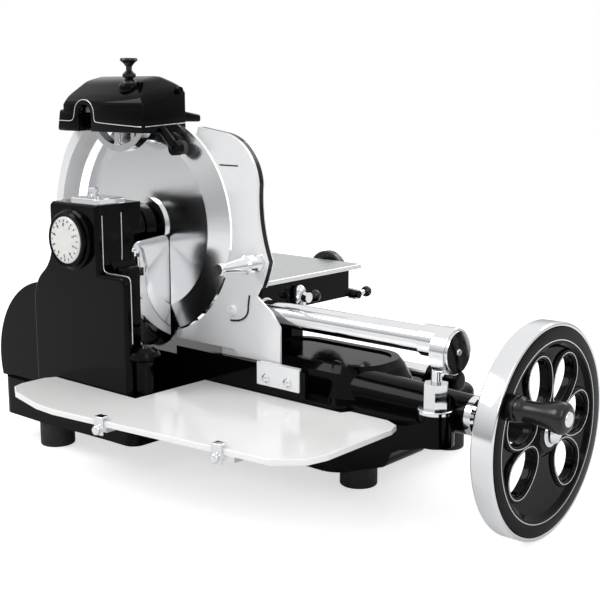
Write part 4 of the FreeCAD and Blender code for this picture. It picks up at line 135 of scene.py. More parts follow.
# ---------------------------------------------------------------- materials
def coat(name, tones, grain, rough, haze=None, relief=None, ripple=None, edge=None, extra=None):
    """Surface of two close tones with an uneven polish and a fine relief.

    tones are two hex colours, rough is one roughness or the lowest and highest, and relief is the
    strength and distance of its height. grain, haze and ripple are the scale and detail of the noise
    behind the three. edge is the range of Y in which the thick edge of a plate is painted black: a
    painted dark reflection of its polished edge.
    """
    material, tree, shader, place = blank(name)
    colour = two_tone(tree, noise(tree, place, *grain), *tones)
    # A band of Y painted black on a plate's thick edge: a painted dark reflection of the polished edge.
    if edge:
        depth = depth_of(tree, place)
        painted_reflection_band = compute(tree, "MULTIPLY", compute(tree, "GREATER_THAN", depth, edge[0]),
                       compute(tree, "LESS_THAN", depth, edge[1]))
        colour = blend(tree, painted_reflection_band, colour, lin("0b0b0c"))
    if haze:
        rough = between(tree, noise(tree, place, *haze), *rough)
    plug(tree, shader, {"Base Color": colour, "Roughness": rough})
    if relief:
        plug(tree, shader, {"Normal": bump(tree, noise(tree, place, *ripple), *relief)})
    plug(tree, shader, extra or {})
    return material


def ground(made, lines, tones, rough, relief):
    """Makes a blank material bare metal; one pattern of grinding lines gives tone, polish and relief."""
    material, tree, shader, _ = made
    plug(tree, shader, {"Metallic": 1.0, "Base Color": two_tone(tree, lines, *tones),
                        "Roughness": between(tree, lines, *rough), "Normal": bump(tree, lines, *relief)})
    return material


def brushed(name, tones, rough, stretch):
    """Ground and polished metal: fine parallel grinding lines along one direction."""
    made = blank(name)
    tree, place = made[1], made[3]
    turned = add(tree, "ShaderNodeMapping", {"Vector": place, "Scale": stretch}).outputs["Vector"]
    return ground(made, noise(tree, turned, 1.0, 6.0, 0.65), tones, rough, (0.05, 0.0002))


def turned_steel(name, centre, tones, rough):
    """Steel ground on a turning disc: rings about a line along Y through centre."""
    made = blank(name)
    tree, place = made[1], made[3]
    moved = add(tree, "ShaderNodeMapping", {"Vector": place, "Location": (-centre.x, 0.0, -centre.z)})
    split = add(tree, "ShaderNodeSeparateXYZ", {"Vector": moved.outputs["Vector"]})
    flat = add(tree, "ShaderNodeCombineXYZ", {"X": split.outputs["X"], "Y": split.outputs["Z"]})
    radius = add(tree, "ShaderNodeVectorMath", {0: flat.outputs["Vector"]},
                 operation="LENGTH").outputs["Value"]
    line = add(tree, "ShaderNodeCombineXYZ", {"X": radius}).outputs["Vector"]
    return ground(made, noise(tree, line, 900.0, 5.0, 0.6), tones, rough, (0.05, 0.00015))


def lever_finish(name):
    """Plated lever stalk with a black phenolic ball, as wide as the lever is high, on its far end."""
    low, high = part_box(name)
    ball_start = high[1] - (high[2] - low[2])
    material, tree, shader, place = blank(name + "_finish")
    stalk = compute(tree, "LESS_THAN", depth_of(tree, place), ball_start)
    plug(tree, shader, {"Base Color": two_tone(tree, stalk, "0a0a0b", "eeeff1"), "Metallic": stalk,
                        "Roughness": between(tree, noise(tree, place, 120.0), 0.06, 0.14)})
    return material


GAUGE_PAINTED_DARK_REFLECTION = (-0.0368, -0.0292)  # the range of Y in which the gauge plate's edge is painted black, a painted dark reflection
# The pale, barely metallic colour of this plate is a painted white reflection: chrome plate drawn as the
# white it mirrors.
PALE_PAINTED_REFLECTION = {"tones": ("f4f5f6", "ecedef"), "grain": (20.0,), "rough": (0.14, 0.24), "haze": (70.0, 5.0),
         "relief": (0.02, 0.0003), "ripple": (300.0,), "extra": {"Metallic": 0.2}}

finishes = {
    # Cast iron under several coats of black stove enamel: deep gloss with a slow orange peel.
    "black_enamel": coat("black_stove_enamel", tones=("030304", "070708"), grain=(14.0,), rough=(0.05, 0.1),
                         haze=(60.0, 5.0), relief=(0.06, 0.0006), ripple=(170.0, 1.0),
                         extra={"IOR": 1.5, "Specular IOR Level": 0.1}),
    # White vitreous enamel fired on steel sheet: hard gloss over a faint ripple.
    "white_enamel": coat("white_vitreous_enamel", tones=("f6f6f5", "efefee"), grain=(30.0,),
                         rough=(0.08, 0.16), haze=(80.0, 4.0), relief=(0.05, 0.0005), ripple=(120.0, 1.0)),
    # Buffed chrome plate: mirror bright, with faint buffing haze.
    "chrome": coat("buffed_chrome_plate", tones=("f3f4f6", "e6e8eb"), grain=(25.0,), rough=(0.03, 0.09),
                   haze=(90.0, 6.0), relief=(0.03, 0.0006), ripple=(45.0, 1.0), extra={"Metallic": 1.0}),
    "polished_steel": brushed("polished_steel", tones=("f2f3f4", "e2e4e6"), rough=(0.1, 0.2),
                              stretch=(60.0, 900.0, 900.0)),
    "gear_steel": brushed("oiled_machined_steel", tones=("8c8e90", "6e7072"), rough=(0.25, 0.4),
                          stretch=(400.0, 400.0, 400.0)),
    "aluminium": brushed("anodised_aluminium", tones=("eceded", "dcdee0"), rough=(0.2, 0.32),
                         stretch=(40.0, 1200.0, 400.0)),
    # Bearing bronze, turned and slightly dulled by oil.
    "bronze": coat("oiled_bearing_bronze", tones=("8d8473", "6b6354"), grain=(80.0,), rough=(0.22, 0.4),
                   haze=(200.0,), extra={"Metallic": 1.0}),
    # Moulded rubber: matt, with a little dust in the grain.
    "rubber": coat("moulded_rubber", tones=("141414", "242424"), grain=(60.0, 6.0), rough=(0.5, 0.72),
                   haze=(120.0,), relief=(0.25, 0.0002), ripple=(900.0,)),
    # Turned phenolic handle, polished but worn soft by the hand.
    "black_plastic": coat("polished_phenolic", tones=("0a0a0b", "121213"), grain=(40.0,), rough=(0.2, 0.34),
                          haze=(50.0, 5.0), relief=(0.04, 0.0002), ripple=(300.0,)),
    # Pale enamelled dial face, slightly warm.
    "dial_face": coat("pale_dial_enamel", tones=("e6e6e2", "d6d6d2"), grain=(90.0, 4.0), rough=0.25,
                      relief=(0.08, 0.0002), ripple=(400.0,)),
    # Fine bonded abrasive: matt grit.
    "stone": coat("bonded_abrasive", tones=("4a4a4b", "333334"), grain=(1500.0,), rough=0.85,
                  relief=(0.6, 0.0003), ripple=(1500.0,)),
    # Aluminium paint on the steel sheet below: satin with fine flake.
    "silver_paint": coat("aluminium_paint", tones=("9a9b9c", "84868a"), grain=(700.0,), rough=0.45,
                         relief=(0.1, 0.0003), ripple=(500.0,), extra={"Metallic": 0.4}),
    # Chrome plate on a cast plate, drawn pale and barely metallic, with soft reflections: its near white
    # colour is a painted white reflection. The gauge plate's edge is painted black as a painted dark
    # reflection of its polished edge.
    "pale_plate_painted_reflection": coat("chrome_plate_painted_white_reflection", **PALE_PAINTED_REFLECTION),
    "gauge_plate": coat("chrome_plate_painted_white_and_dark_reflections", edge=GAUGE_PAINTED_DARK_REFLECTION, **PALE_PAINTED_REFLECTION),
}


def wear(piece, material):
    piece.data.materials.clear()
    piece.data.materials.append(material)


slot_of = {part["node"]: part["material_slot"] for part in frame["record"]["subparts"]}
for name, piece in nodes.items():
    wear(piece, finishes[slot_of[name]])

blade_low, blade_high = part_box("blade")
own_finishes = {
    "blade": turned_steel("ground_blade_steel", centre=(blade_low + blade_high) / 2.0,
                          tones=("f4f5f6", "e6e8ea"), rough=(0.12, 0.22)),
    # The gauge plate takes the pale plate with its painted white reflection, and a black band of painted
    # dark reflection on its edge.
    "gauge_plate": finishes["gauge_plate"],
    "table_lock_lever": lever_finish("table_lock_lever"),
    "feed_lever": lever_finish("feed_lever"),
    # The guard ring and the gauge bracket take the pale plate with its painted white reflection.
    "guard_ring": finishes["pale_plate_painted_reflection"],
    "carriage_sleeve": finishes["polished_steel"],
    "gauge_bracket": finishes["pale_plate_painted_reflection"],
    "handle_pin": finishes["black_plastic"],
}
for name, material in own_finishes.items():
    wear(nodes[name], material)


# ---------------------------------------------------------------- modelling helpers
ORIGIN_X, ORIGIN_Y = 217.0, 41.5  # the shared frame's origin, in millimetres from the point under the blade
QUARTER = math.pi / 2.0
ALONG_X = (0.0, QUARTER, 0.0)
ALONG_Y = (QUARTER, 0.0, 0.0)
ALONG_Z = (0.0, 0.0, 0.0)
HAIR = 0.0001  # tolerance when faces and corners are chosen by their place


def at(x, y, z):
    """Point in metres from millimetres; x and y start under the blade and z at the floor."""
    return Vector((x - ORIGIN_X, y - ORIGIN_Y, z)) / 1000.0


def x_of(x):
    return at(x, 0.0, 0.0).x


def y_of(y):
    return at(0.0, y, 0.0).y


def z_of(z):
    return at(0.0, 0.0, z).z


def middle_of(low, high):
    return Vector([(a + b) / 2.0 for a, b in zip(low, high)])


def called(piece, name):
    """Names a piece and its mesh."""
    piece.name = name
    piece.data.name = name
    return piece


def dress(piece, body, slot):
    """Gives a piece its finish and lets it ride on its body. A punch has no body."""
    wear(piece, finishes[slot])
    if body:
        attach(piece, body)


def drop(piece):
    bpy.data.objects.remove(piece, do_unlink=True)


def start(name, body, slot, primitive, **settings):
    """Adds a primitive and moves its size and place into its mesh."""
    bpy.ops.object.select_all(action="DESELECT")
    primitive(**settings)
    piece = called(bpy.context.object, name)
    bpy.ops.object.transform_apply(location=True, rotation=True, scale=True)
    dress(piece, body, slot)
    return piece


def block(name, body, slot, low, high):
    """Box between two corners in millimetres, to be shaped further."""
    a, b = at(*low), at(*high)
    return start(name, body, slot, bpy.ops.mesh.primitive_cube_add, size=1.0, location=(a + b) / 2.0,
                 scale=(abs(b.x - a.x), abs(b.y - a.y), abs(b.z - a.z)))


def rod(name, body, slot, middle, way=ALONG_Z, *, sides, radius, length):
    """Cylinder about its middle point, to be shaped further."""
    return start(name, body, slot, bpy.ops.mesh.primitive_cylinder_add, vertices=sides, radius=radius,
                 depth=length, location=middle, rotation=way)


def only(piece):
    bpy.ops.object.select_all(action="DESELECT")
    piece.select_set(True)
    bpy.context.view_layer.objects.active = piece


def edit(piece):
    only(piece)
    bpy.ops.object.mode_set(mode="EDIT")


def done():
    bpy.ops.object.mode_set(mode="OBJECT")


def choose(piece, kind, test):
    """Selects only the corners, edges or faces whose middle passes the test."""
    bpy.ops.mesh.select_mode(type=kind)
    bpy.ops.mesh.select_all(action="DESELECT")
    mesh = bmesh.from_edit_mesh(piece.data)
    if kind == "VERT":
        for corner in mesh.verts:
            corner.select_set(bool(test(corner.co)))
    elif kind == "EDGE":
        for edge in mesh.edges:
            edge.select_set(bool(test((edge.verts[0].co + edge.verts[1].co) / 2.0)))
    else:
        for face in mesh.faces:
            face.select_set(bool(test(face.calc_center_median())))
    mesh.select_flush_mode()
    bmesh.update_edit_mesh(piece.data)


def shift(x, y, z):
    bpy.ops.transform.translate(value=(x, y, z))


def extrude(x, y, z):
    bpy.ops.mesh.extrude_region_move(TRANSFORM_OT_translate={"value": (x, y, z)})


def inset(width, step=0.0):
    """Draws the chosen faces in by a width and moves them out by a step."""
    bpy.ops.mesh.inset(thickness=width, depth=step)


def round_off(width, segments):
    bpy.ops.mesh.bevel(offset=width, segments=segments, affect="EDGES")


def finish_with(piece, kind, **settings):
    """Adds a modifier with its settings and applies it."""
    only(piece)
    modifier = piece.modifiers.new(kind.lower(), kind)
    for key, value in settings.items():
        setattr(modifier, key, value)
    bpy.ops.object.modifier_apply(modifier=modifier.name)


def cut(piece, punch):
    """Takes the punch's room out of a piece and removes the punch."""
    finish_with(piece, "BOOLEAN", operation="DIFFERENCE", solver="EXACT", object=punch)
    drop(punch)


def smooth(piece, angle=35.0):
    only(piece)
    bpy.ops.object.shade_smooth_by_angle(angle=math.radians(angle))


def soften(piece, width, segments=3, angle=35.0):
    """Bevels the edges that are sharper than an angle."""
    finish_with(piece, "BEVEL", width=width, segments=segments, limit_method="ANGLE",
                angle_limit=math.radians(angle), harden_normals=False)
    smooth(piece)


def copy_of(piece, name, body, slot, matrix):
    """Copy with its own mesh, moved by a matrix in its mesh."""
    made = piece.copy()
    made.data = piece.data.copy()
    called(made, name)
    made.data.transform(matrix)
    bpy.context.scene.collection.objects.link(made)
    dress(made, body, slot)
    return made


def about(centre, axis, degrees):
    """Turn about an axis through a point."""
    return (Matrix.Translation(centre) @ Matrix.Rotation(math.radians(degrees), 4, axis)
            @ Matrix.Translation(-centre))


def beads(name, body, slot, routes, radius, closed=False, sides=3):
    """Round wires along smooth routes, joined in one piece."""
    bpy.ops.object.select_all(action="DESELECT")
    line = bpy.data.curves.new(name, "CURVE")
    line.dimensions = "3D"
    line.resolution_u = 8
    line.bevel_depth = radius
    line.bevel_resolution = sides
    line.use_fill_caps = not closed
    for route in routes:
        spline = line.splines.new("NURBS")
        spline.points.add(len(route) - 1)
        for point, place in zip(spline.points, route):
            point.co = (place[0], place[1], place[2], 1.0)
        spline.use_cyclic_u = closed
        spline.order_u = 3
        spline.use_endpoint_u = not closed
    made = bpy.data.objects.new(name, line)
    bpy.context.scene.collection.objects.link(made)
    only(made)
    bpy.ops.object.convert(target="MESH")
    piece = called(bpy.context.object, name)
    dress(piece, body, slot)
    smooth(piece, 60.0)
    return piece


# ---------------------------------------------------------------- flywheel
WHEEL_Y, WHEEL_Z = 60.0, 132.0  # the main shaft's axis
WHEEL_MIDDLE = at(594.0, WHEEL_Y, WHEEL_Z)  # on the disc's front face
DISC_DEPTH = 0.020
FRONT_STEPS = ((0.0185, 0.0), (0.005, -0.005), (0.068, 0.0), (0.006, 0.005))  # width and step, from outside
BACK_STEPS = ((0.0185, 0.0), (0.004, -0.003))
CORE = 0.05  # only a full end face has its middle this near the axis
PETAL_REACH = 0.070  # from the axis to the middle of a petal's round end
PETAL_TURNS = [about(WHEEL_MIDDLE, "X", -44.5 + i * 360.0 / 7.0 - 90.0) for i in range(6)]
LOOP_POINTS = 28
LOOP_RADIUS = 0.0262
HUB_BACK, HUB_LENGTH = 506.6, 70.0


def from_axis(co):
    """Distance from the main shaft's axis."""
    return math.hypot(co.y - WHEEL_MIDDLE.y, co.z - WHEEL_MIDDLE.z)


def wheel_disc():
    """Cast disc: flat outer ring, web set back behind it, and a raised hub face."""
    disc = rod("flywheel_disc", "flywheel", "black_enamel",
               WHEEL_MIDDLE - Vector((DISC_DEPTH / 2.0, 0.0, 0.0)), ALONG_X, sides=128, radius=0.1205,
               length=DISC_DEPTH)
    edit(disc)
    choose(disc, "FACE", lambda c: c.x > WHEEL_MIDDLE.x - HAIR)
    for width, step in FRONT_STEPS:
        inset(width, step)
    choose(disc, "FACE", lambda c: c.x < WHEEL_MIDDLE.x - DISC_DEPTH + HAIR)
    for width, step in BACK_STEPS:
        inset(width, step)
    done()
    return disc


def petal_punch():
    """Egg shaped punch through the web, its round end outwards."""
    far = WHEEL_MIDDLE + Vector((-0.01, 0.0, PETAL_REACH))
    punch = rod("petal_punch", None, "black_enamel", far, ALONG_X, sides=40, radius=0.0235, length=0.06)
    edit(punch)
    choose(punch, "VERT", lambda c: c.z < far.z - HAIR)
    bpy.ops.transform.resize(value=(1.0, 1.0, 1.62), center_override=far)
    done()
    return punch


def petal_loops():
    """Raised bead round each petal, with a silver line on it."""
    far = WHEEL_MIDDLE + Vector((-0.0055, 0.0, PETAL_REACH))
    loop = []
    for i in range(LOOP_POINTS):
        turn = 2.0 * math.pi * i / LOOP_POINTS
        rise = math.sin(turn)
        stretch = 1.55 if rise < 0.0 else 1.0
        loop.append(far + Vector((0.0, LOOP_RADIUS * math.cos(turn), LOOP_RADIUS * rise * stretch)))
    line = [point + Vector((0.0036, 0.0, 0.0)) for point in loop]
    bead = beads("flywheel_loop_0", "flywheel", "black_enamel", [loop], 0.0042, closed=True, sides=4)
    stripe = beads("flywheel_loop_line_0", "flywheel", "aluminium", [line], 0.0007, closed=True, sides=2)
    for i, turned in enumerate(PETAL_TURNS):
        copy_of(bead, "flywheel_loop_%d" % (i + 1), "flywheel", "black_enamel", turned)
        copy_of(stripe, "flywheel_loop_line_%d" % (i + 1), "flywheel", "aluminium", turned)
    drop(bead)
    drop(stripe)


def make_ring(disc, width):
    """Opens a full disc on the main shaft's axis to a ring of this width."""
    edit(disc)
    choose(disc, "FACE", lambda c: from_axis(c) < CORE)
    inset(width)
    choose(disc, "FACE", lambda c: from_axis(c) < CORE)
    bpy.ops.mesh.bridge_edge_loops()
    done()


def flywheel_pieces():
    disc = wheel_disc()
    punch = petal_punch()
    for i, turned in enumerate(PETAL_TURNS):
        cut(disc, copy_of(punch, "petal_punch_%d" % i, None, "black_enamel", turned))
    drop(punch)
    soften(disc, 0.0022, segments=3, angle=40.0)
    petal_loops()

    hub = rod("flywheel_hub", "flywheel", "black_enamel", at(HUB_BACK + HUB_LENGTH / 2.0, WHEEL_Y, WHEEL_Z),
              ALONG_X, sides=64, radius=0.023, length=HUB_LENGTH / 1000.0)
    back = at(HUB_BACK, WHEEL_Y, WHEEL_Z)
    edit(hub)
    choose(hub, "FACE", lambda c: c.x < back.x + 0.001)
    bpy.ops.transform.resize(value=(1.0, 0.78, 0.78), center_override=back)
    inset(0.004)
    done()
    soften(hub, 0.002)

    rim = rod("flywheel_rim", "flywheel", "chrome", at(580.5, WHEEL_Y, WHEEL_Z), ALONG_X, sides=160,
              radius=0.126, length=0.027)
    make_ring(rim, 0.0058)
    soften(rim, 0.0048, segments=6, angle=50.0)
    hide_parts("flywheel")

    stripe = rod("flywheel_face_line", "flywheel", "aluminium", WHEEL_MIDDLE, ALONG_X, sides=128,
                 radius=0.1062, length=0.0006)
    make_ring(stripe, 0.0011)
    smooth(stripe)


flywheel_pieces()


# ---------------------------------------------------------------- handle
HANDLE_Y, HANDLE_Z = -26.6, 180.0
GRIP_START_X, GRIP_START_R = 605.7, 14.6
GRIP_PROFILE = (  # x and radius in millimetres
    (606.0, 14.6), (607.5, 13.2), (609.0, 11.8), (613.0, 11.4), (621.0, 11.8), (630.0, 13.1), (640.0, 15.2),
    (648.0, 16.9), (653.0, 17.4), (656.5, 16.8), (659.0, 14.8), (660.2, 12.0), (660.4, 9.2), (659.2, 8.8))


def handle():
    """Turned grip that swells towards its free end, with a plated button in the end."""
    grip = rod("handle_grip_turned", "handle", "black_plastic", at(GRIP_START_X - 1.5, HANDLE_Y, HANDLE_Z),
               ALONG_X, sides=64, radius=GRIP_START_R / 1000.0, length=0.003)
    edit(grip)
    choose(grip, "FACE", lambda c: c.x > x_of(605.0))
    last_x, last_r = GRIP_START_X, GRIP_START_R
    for x, r in GRIP_PROFILE:
        extrude((x - last_x) / 1000.0, 0.0, 0.0)
        growth = r / last_r
        bpy.ops.transform.resize(value=(1.0, growth, growth), center_override=at(x, HANDLE_Y, HANDLE_Z))
        last_x, last_r = x, r
    done()
    smooth(grip, 50.0)
    button = rod("handle_button", "handle", "chrome", at(659.6, HANDLE_Y, HANDLE_Z), ALONG_X, sides=48,
                 radius=0.0086, length=0.004)
    soften(button, 0.0018, segments=5)
    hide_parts("handle_grip")


handle()


# ---------------------------------------------------------------- sharpener cover
COVER_FRONT_TOP = 501.0  # height of the front wall; the roof rises from here to the rear
COVER_RISE = 0.017
COVER_LINE_Y = -60.5
ARCH_X, ARCH_Z = -71.0, 482.0  # middle of the line over the arch


def cover_shell():
    """Hipped cast cover: low front wall with an arch, roof rising to the rear, soft edges."""
    cover = block("sharpener_cover_shell", "frame", "black_enamel",
                  (-118.0, -60.0, 456.0), (52.0, 16.0, COVER_FRONT_TOP))
    top = z_of(COVER_FRONT_TOP)
    edit(cover)
    choose(cover, "VERT", lambda c: c.z > top - 0.001 and c.y > y_of(10.0))
    shift(0.0, 0.0, COVER_RISE)
    choose(cover, "FACE", lambda c: c.z > top + 0.002)
    inset(0.023)
    shift(-0.003, 0.002, 0.0195)
    choose(cover, "EDGE", lambda c: c.z > top - 0.004)
    round_off(0.009, 5)
    done()
    arch = rod("arch_punch", None, "black_enamel", at(ARCH_X, -59.0, 478.0), ALONG_Y, sides=40,
               radius=0.0135, length=0.02)
    edit(arch)
    choose(arch, "VERT", lambda c: c.z < z_of(477.0))
    shift(0.0, 0.0, -0.03)
    done()
    cut(cover, arch)
    cut(cover, block("room_punch", None, "black_enamel", (-112.0, -54.0, 450.0), (46.0, 11.0, 492.0)))
    soften(cover, 0.0012, segments=3, angle=40.0)
    return cover


def cover_fittings():
    """Cast foot on the left, tail to the rear, seat of the knob and the pin's head."""
    foot = block("sharpener_cover_foot", "frame", "black_enamel",
                 (-133.0, -60.5, 456.0), (-86.5, -31.0, 482.0))
    edit(foot)
    choose(foot, "VERT", lambda c: c.z > z_of(470.0) and c.x < x_of(-120.0))
    shift(0.006, 0.0, 0.004)
    done()
    soften(foot, 0.004, segments=4)
    tail = block("sharpener_cover_tail", "frame", "black_enamel", (27.0, 4.0, 470.0), (51.0, 46.0, 486.0))
    edit(tail)
    choose(tail, "FACE", lambda c: c.y > y_of(44.0))
    bpy.ops.transform.resize(value=(1.0, 1.0, 0.6))
    shift(0.0, 0.0, -0.004)
    done()
    soften(tail, 0.003)
    seat = rod("sharpener_knob_seat", "frame", "black_enamel", at(5.0, -42.0, 514.5), sides=48,
               radius=0.0145, length=0.012)
    soften(seat, 0.0035, segments=4)
    pin = rod("sharpener_cover_pin", "frame", "black_enamel", at(51.0, 4.0, 512.0), ALONG_X, sides=32,
              radius=0.0048, length=0.012)
    soften(pin, 0.002, segments=4)


def cover_lines():
    """Silver line along the front wall and over its arch, and another round the right side."""
    arc = []
    for degrees in range(0, 181, 20):
        turn = math.radians(degrees)
        arc.append(at(ARCH_X - 21.0 * math.cos(turn), COVER_LINE_Y, ARCH_Z + 17.5 * math.sin(turn)))
    corner = at(40.0, COVER_LINE_Y, 464.5)
    front = [at(-127.0, -60.9, 470.4), at(-112.0, -60.9, 470.0), at(-95.0, -60.9, 470.0)] + arc
    front += [at(-49.5, COVER_LINE_Y, 471.0), at(-44.0, COVER_LINE_Y, 468.0), corner]
    side = [corner, at(52.3, -60.3, 464.3), at(52.4, -48.0, 465.0), at(52.4, 15.0, 468.5)]
    beads("sharpener_cover_lines", "frame", "aluminium", [front, side], 0.0006)


cover = cover_shell()
cover_fittings()
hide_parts("sharpener_cover")
cover_lines()


# ---------------------------------------------------------------- slice deflector
def slice_deflector():
    """Thin polished sheet that leads the slice off the blade, hung on its bent pin."""
    sheet = block("deflector_sheet", "deflector", "chrome", (39.4, -80.0, 168.0), (40.8, -10.0, 318.0))
    edit(sheet)
    choose(sheet, "VERT", lambda c: c.z > z_of(300.0) and c.y < y_of(-50.0))
    shift(0.0, 0.004, -0.006)
    choose(sheet, "EDGE", lambda c: c.z > z_of(300.0) and abs(c.x - x_of(40.1)) < 0.0003
           and abs(c.y - y_of(-45.0)) > 0.02)
    round_off(0.012, 6)
    done()
    cut(sheet, block("pin_notch_punch", None, "chrome", (36.0, -84.0, 262.0), (44.0, -63.0, 300.0)))
    cut(sheet, block("leg_notch_punch", None, "chrome", (36.0, -65.0, 266.0), (44.0, -56.5, 277.5)))
    soften(sheet, 0.0004, segments=2, angle=40.0)
    clip = block("deflector_clip", "deflector", "chrome", (32.0, -65.5, 277.5), (39.6, -56.5, 292.0))
    cut(clip, rod("clip_bore_punch", None, "chrome", at(35.6, -61.5, 285.0), sides=32, radius=0.0028,
                  length=0.03))
    soften(clip, 0.001)
    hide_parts("slice_deflector")


slice_deflector()


# ---------------------------------------------------------------- tray clips
CLIP_XS = (150.0, 330.0)
CLIP_HALF_WIDTH = 7.0
TRAY_CORNER_X, TRAY_CORNER_Y = 69.0, -235.0  # where the tray's front edge starts
TRAY_SLOPE = 0.113  # of the front edge, seen from above


def tray_clip(i, x):
    """Bent plated strap over the tray's front edge, with a round screw head."""
    y = TRAY_CORNER_Y + TRAY_SLOPE * (x - TRAY_CORNER_X)
    clip = block("tray_clip_%d" % i, "frame", "chrome",
                 (x - CLIP_HALF_WIDTH, y - 3.0, 105.0), (x + CLIP_HALF_WIDTH, y - 0.6, 125.6))
    edit(clip)
    choose(clip, "FACE", lambda c: c.z > z_of(125.0))
    extrude(0.0, 0.0, 0.0024)
    choose(clip, "FACE", lambda c: c.y > y_of(y - 0.7) and c.z > z_of(125.7))
    extrude(0.0, 0.009, 0.0)
    done()
    soften(clip, 0.0009)
    screw = rod("tray_clip_screw_%d" % i, "frame", "chrome", at(x, y - 6.0, 112.0), ALONG_Y, sides=32,
                radius=0.0058, length=0.007)
    soften(screw, 0.0026, segments=4)
    turned = about(at(x, y, 110.0), "Z", math.degrees(math.atan(TRAY_SLOPE)))
    clip.data.transform(turned)
    screw.data.transform(turned)
    if i == 0:
        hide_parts("tray_clips")


for i, x in enumerate(CLIP_XS):
    tray_clip(i, x)


# ---------------------------------------------------------------- gear case wall
CASE_WALL = 4.0
CASE_HALF_HEIGHT = 42.0
GEAR_CLEARANCE = 0.0012


def gear_case_wall():
    """Bulge of the gear case's right wall over the idler gear, which closes the case there."""
    low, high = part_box("idler_gear")
    middle = middle_of(low, high)
    out = high[0] * 1000.0 + ORIGIN_X + CASE_WALL
    z = middle.z * 1000.0
    wall = block("gear_case_wall", "frame", "black_enamel",
                 (45.5, -109.5, z - CASE_HALF_HEIGHT), (out, -76.8, z + CASE_HALF_HEIGHT))
    edit(wall)
    choose(wall, "EDGE", lambda c: c.x > x_of(out - 0.5) and abs(c.z - middle.z) > 0.03)
    round_off(0.0058, 6)
    done()
    cut(wall, rod("gear_room_punch", None, "black_enamel", (middle.x, y_of(-93.0), middle.z), ALONG_Y,
                  sides=96, radius=(high[2] - low[2]) / 2.0 + GEAR_CLEARANCE, length=0.05))
    soften(wall, 0.0012, segments=3)


gear_case_wall()


# ---------------------------------------------------------------- gauge plate trim
EAR_RIM = ((184.0, 248.0), (181.5, 236.0), (181.5, 225.0), (175.0, 216.0), (162.0, 210.5), (149.0, 210.0))


def gauge_trim():
    """Slotted screw in the plate's ear, line round the ear, slot near the top, and the knob's black end."""
    screw = rod("gauge_ear_screw", "gauge", "chrome", at(151.0, -1.1, 224.0), ALONG_Y, sides=40,
                radius=0.0066, length=0.0032)
    cut(screw, block("ear_slot_punch", None, "black_enamel", (144.0, -3.0, 223.3), (158.0, -1.7, 224.7)))
    soften(screw, 0.0009, segments=3)
    # The ear screw takes the pale plate with its painted white reflection.
    wear(screw, finishes["pale_plate_painted_reflection"])
    beads("gauge_ear_rim", "gauge", "black_plastic", [[at(x, 0.1, z) for x, z in EAR_RIM]], 0.0013)
    slot = block("gauge_slot", "gauge", "black_plastic", (131.0, 0.3, 414.6), (165.0, 0.9, 416.6))
    soften(slot, 0.0002, segments=2)
    end = rod("gauge_knob_end", "gauge_knob", "black_plastic", at(199.0, -72.2, 292.0), ALONG_Y, sides=40,
              radius=0.007, length=0.0024)
    soften(end, 0.0009, segments=3)


gauge_trim()


# ---------------------------------------------------------------- tube head screw and rail cap
CAP_WALL = 0.0012
CAP_LENGTH = 0.02


def head_screw():
    """Small domed screw in the middle of the disc that closes the tube's head."""
    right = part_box("guide_tube_head")[1].x
    screw = rod("tube_head_screw", "frame", "chrome", (right, y_of(27.0), 0.2145), ALONG_X, sides=32,
                radius=0.0036, length=0.003)
    soften(screw, 0.0013, segments=4)


def rail_cap():
    """Black domed cap on the rear rail's end beside the flywheel."""
    low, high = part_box("rear_rail")
    middle = middle_of(low, high)
    cap = rod("rear_rail_cap", "frame", "black_enamel", (high[0] - 0.0085, middle.y, middle.z), ALONG_X,
              sides=48, radius=(high[2] - low[2]) / 2.0 + CAP_WALL, length=CAP_LENGTH)
    edit(cap)
    choose(cap, "EDGE", lambda c: c.x > high[0] - 0.001)
    round_off(0.0065, 7)
    done()
    smooth(cap)


head_screw()
rail_cap()


# ---------------------------------------------------------------- dial marks
DIAL_MIDDLE = at(-13.0, -146.3, 318.0)
DIAL_TICKS = 20
DIAL_NUMBERS = 10
NUMBER_SIZE = 0.0068
NUMBER_REACH = 0.0205  # from the dial's middle to the middle of a number


def dial_number(i):
    """Plain digit at its place round the dial, upright at the top and turned with the dial elsewhere."""
    bpy.ops.object.select_all(action="DESELECT")
    bpy.ops.object.text_add(location=(0.0, 0.0, 0.0))
    word = bpy.context.object
    word.data.body = str(i)
    word.data.size = NUMBER_SIZE
    word.data.extrude = 0.00025
    word.data.align_x = "CENTER"
    word.data.align_y = "CENTER"
    only(word)
    bpy.ops.object.convert(target="MESH")
    number = called(bpy.context.object, "dial_number_%d" % i)
    turn = math.radians(360.0 / DIAL_NUMBERS * i)
    place = Vector((NUMBER_REACH * math.sin(turn), 0.0, NUMBER_REACH * math.cos(turn)))
    number.data.transform(Matrix.Translation(DIAL_MIDDLE + place) @ Matrix.Rotation(turn, 4, "Y")
                          @ Matrix.Rotation(QUARTER, 4, "X"))
    wear(number, finishes["gear_steel"])
    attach(number, "dial")


def dial_marks():
    """Engraved ticks and plain numbers round the dial's face."""
    tick = block("dial_tick", "dial", "gear_steel", (-13.35, -146.5, 342.6), (-12.65, -145.0, 345.6))
    soften(tick, 0.0001, segments=2)
    for i in range(DIAL_TICKS):
        turned = about(DIAL_MIDDLE, "Y", 360.0 / DIAL_TICKS * i)
        copy_of(tick, "dial_tick_%d" % i, "dial", "gear_steel", turned)
    drop(tick)
    for i in range(DIAL_NUMBERS):
        dial_number(i)


dial_marks()


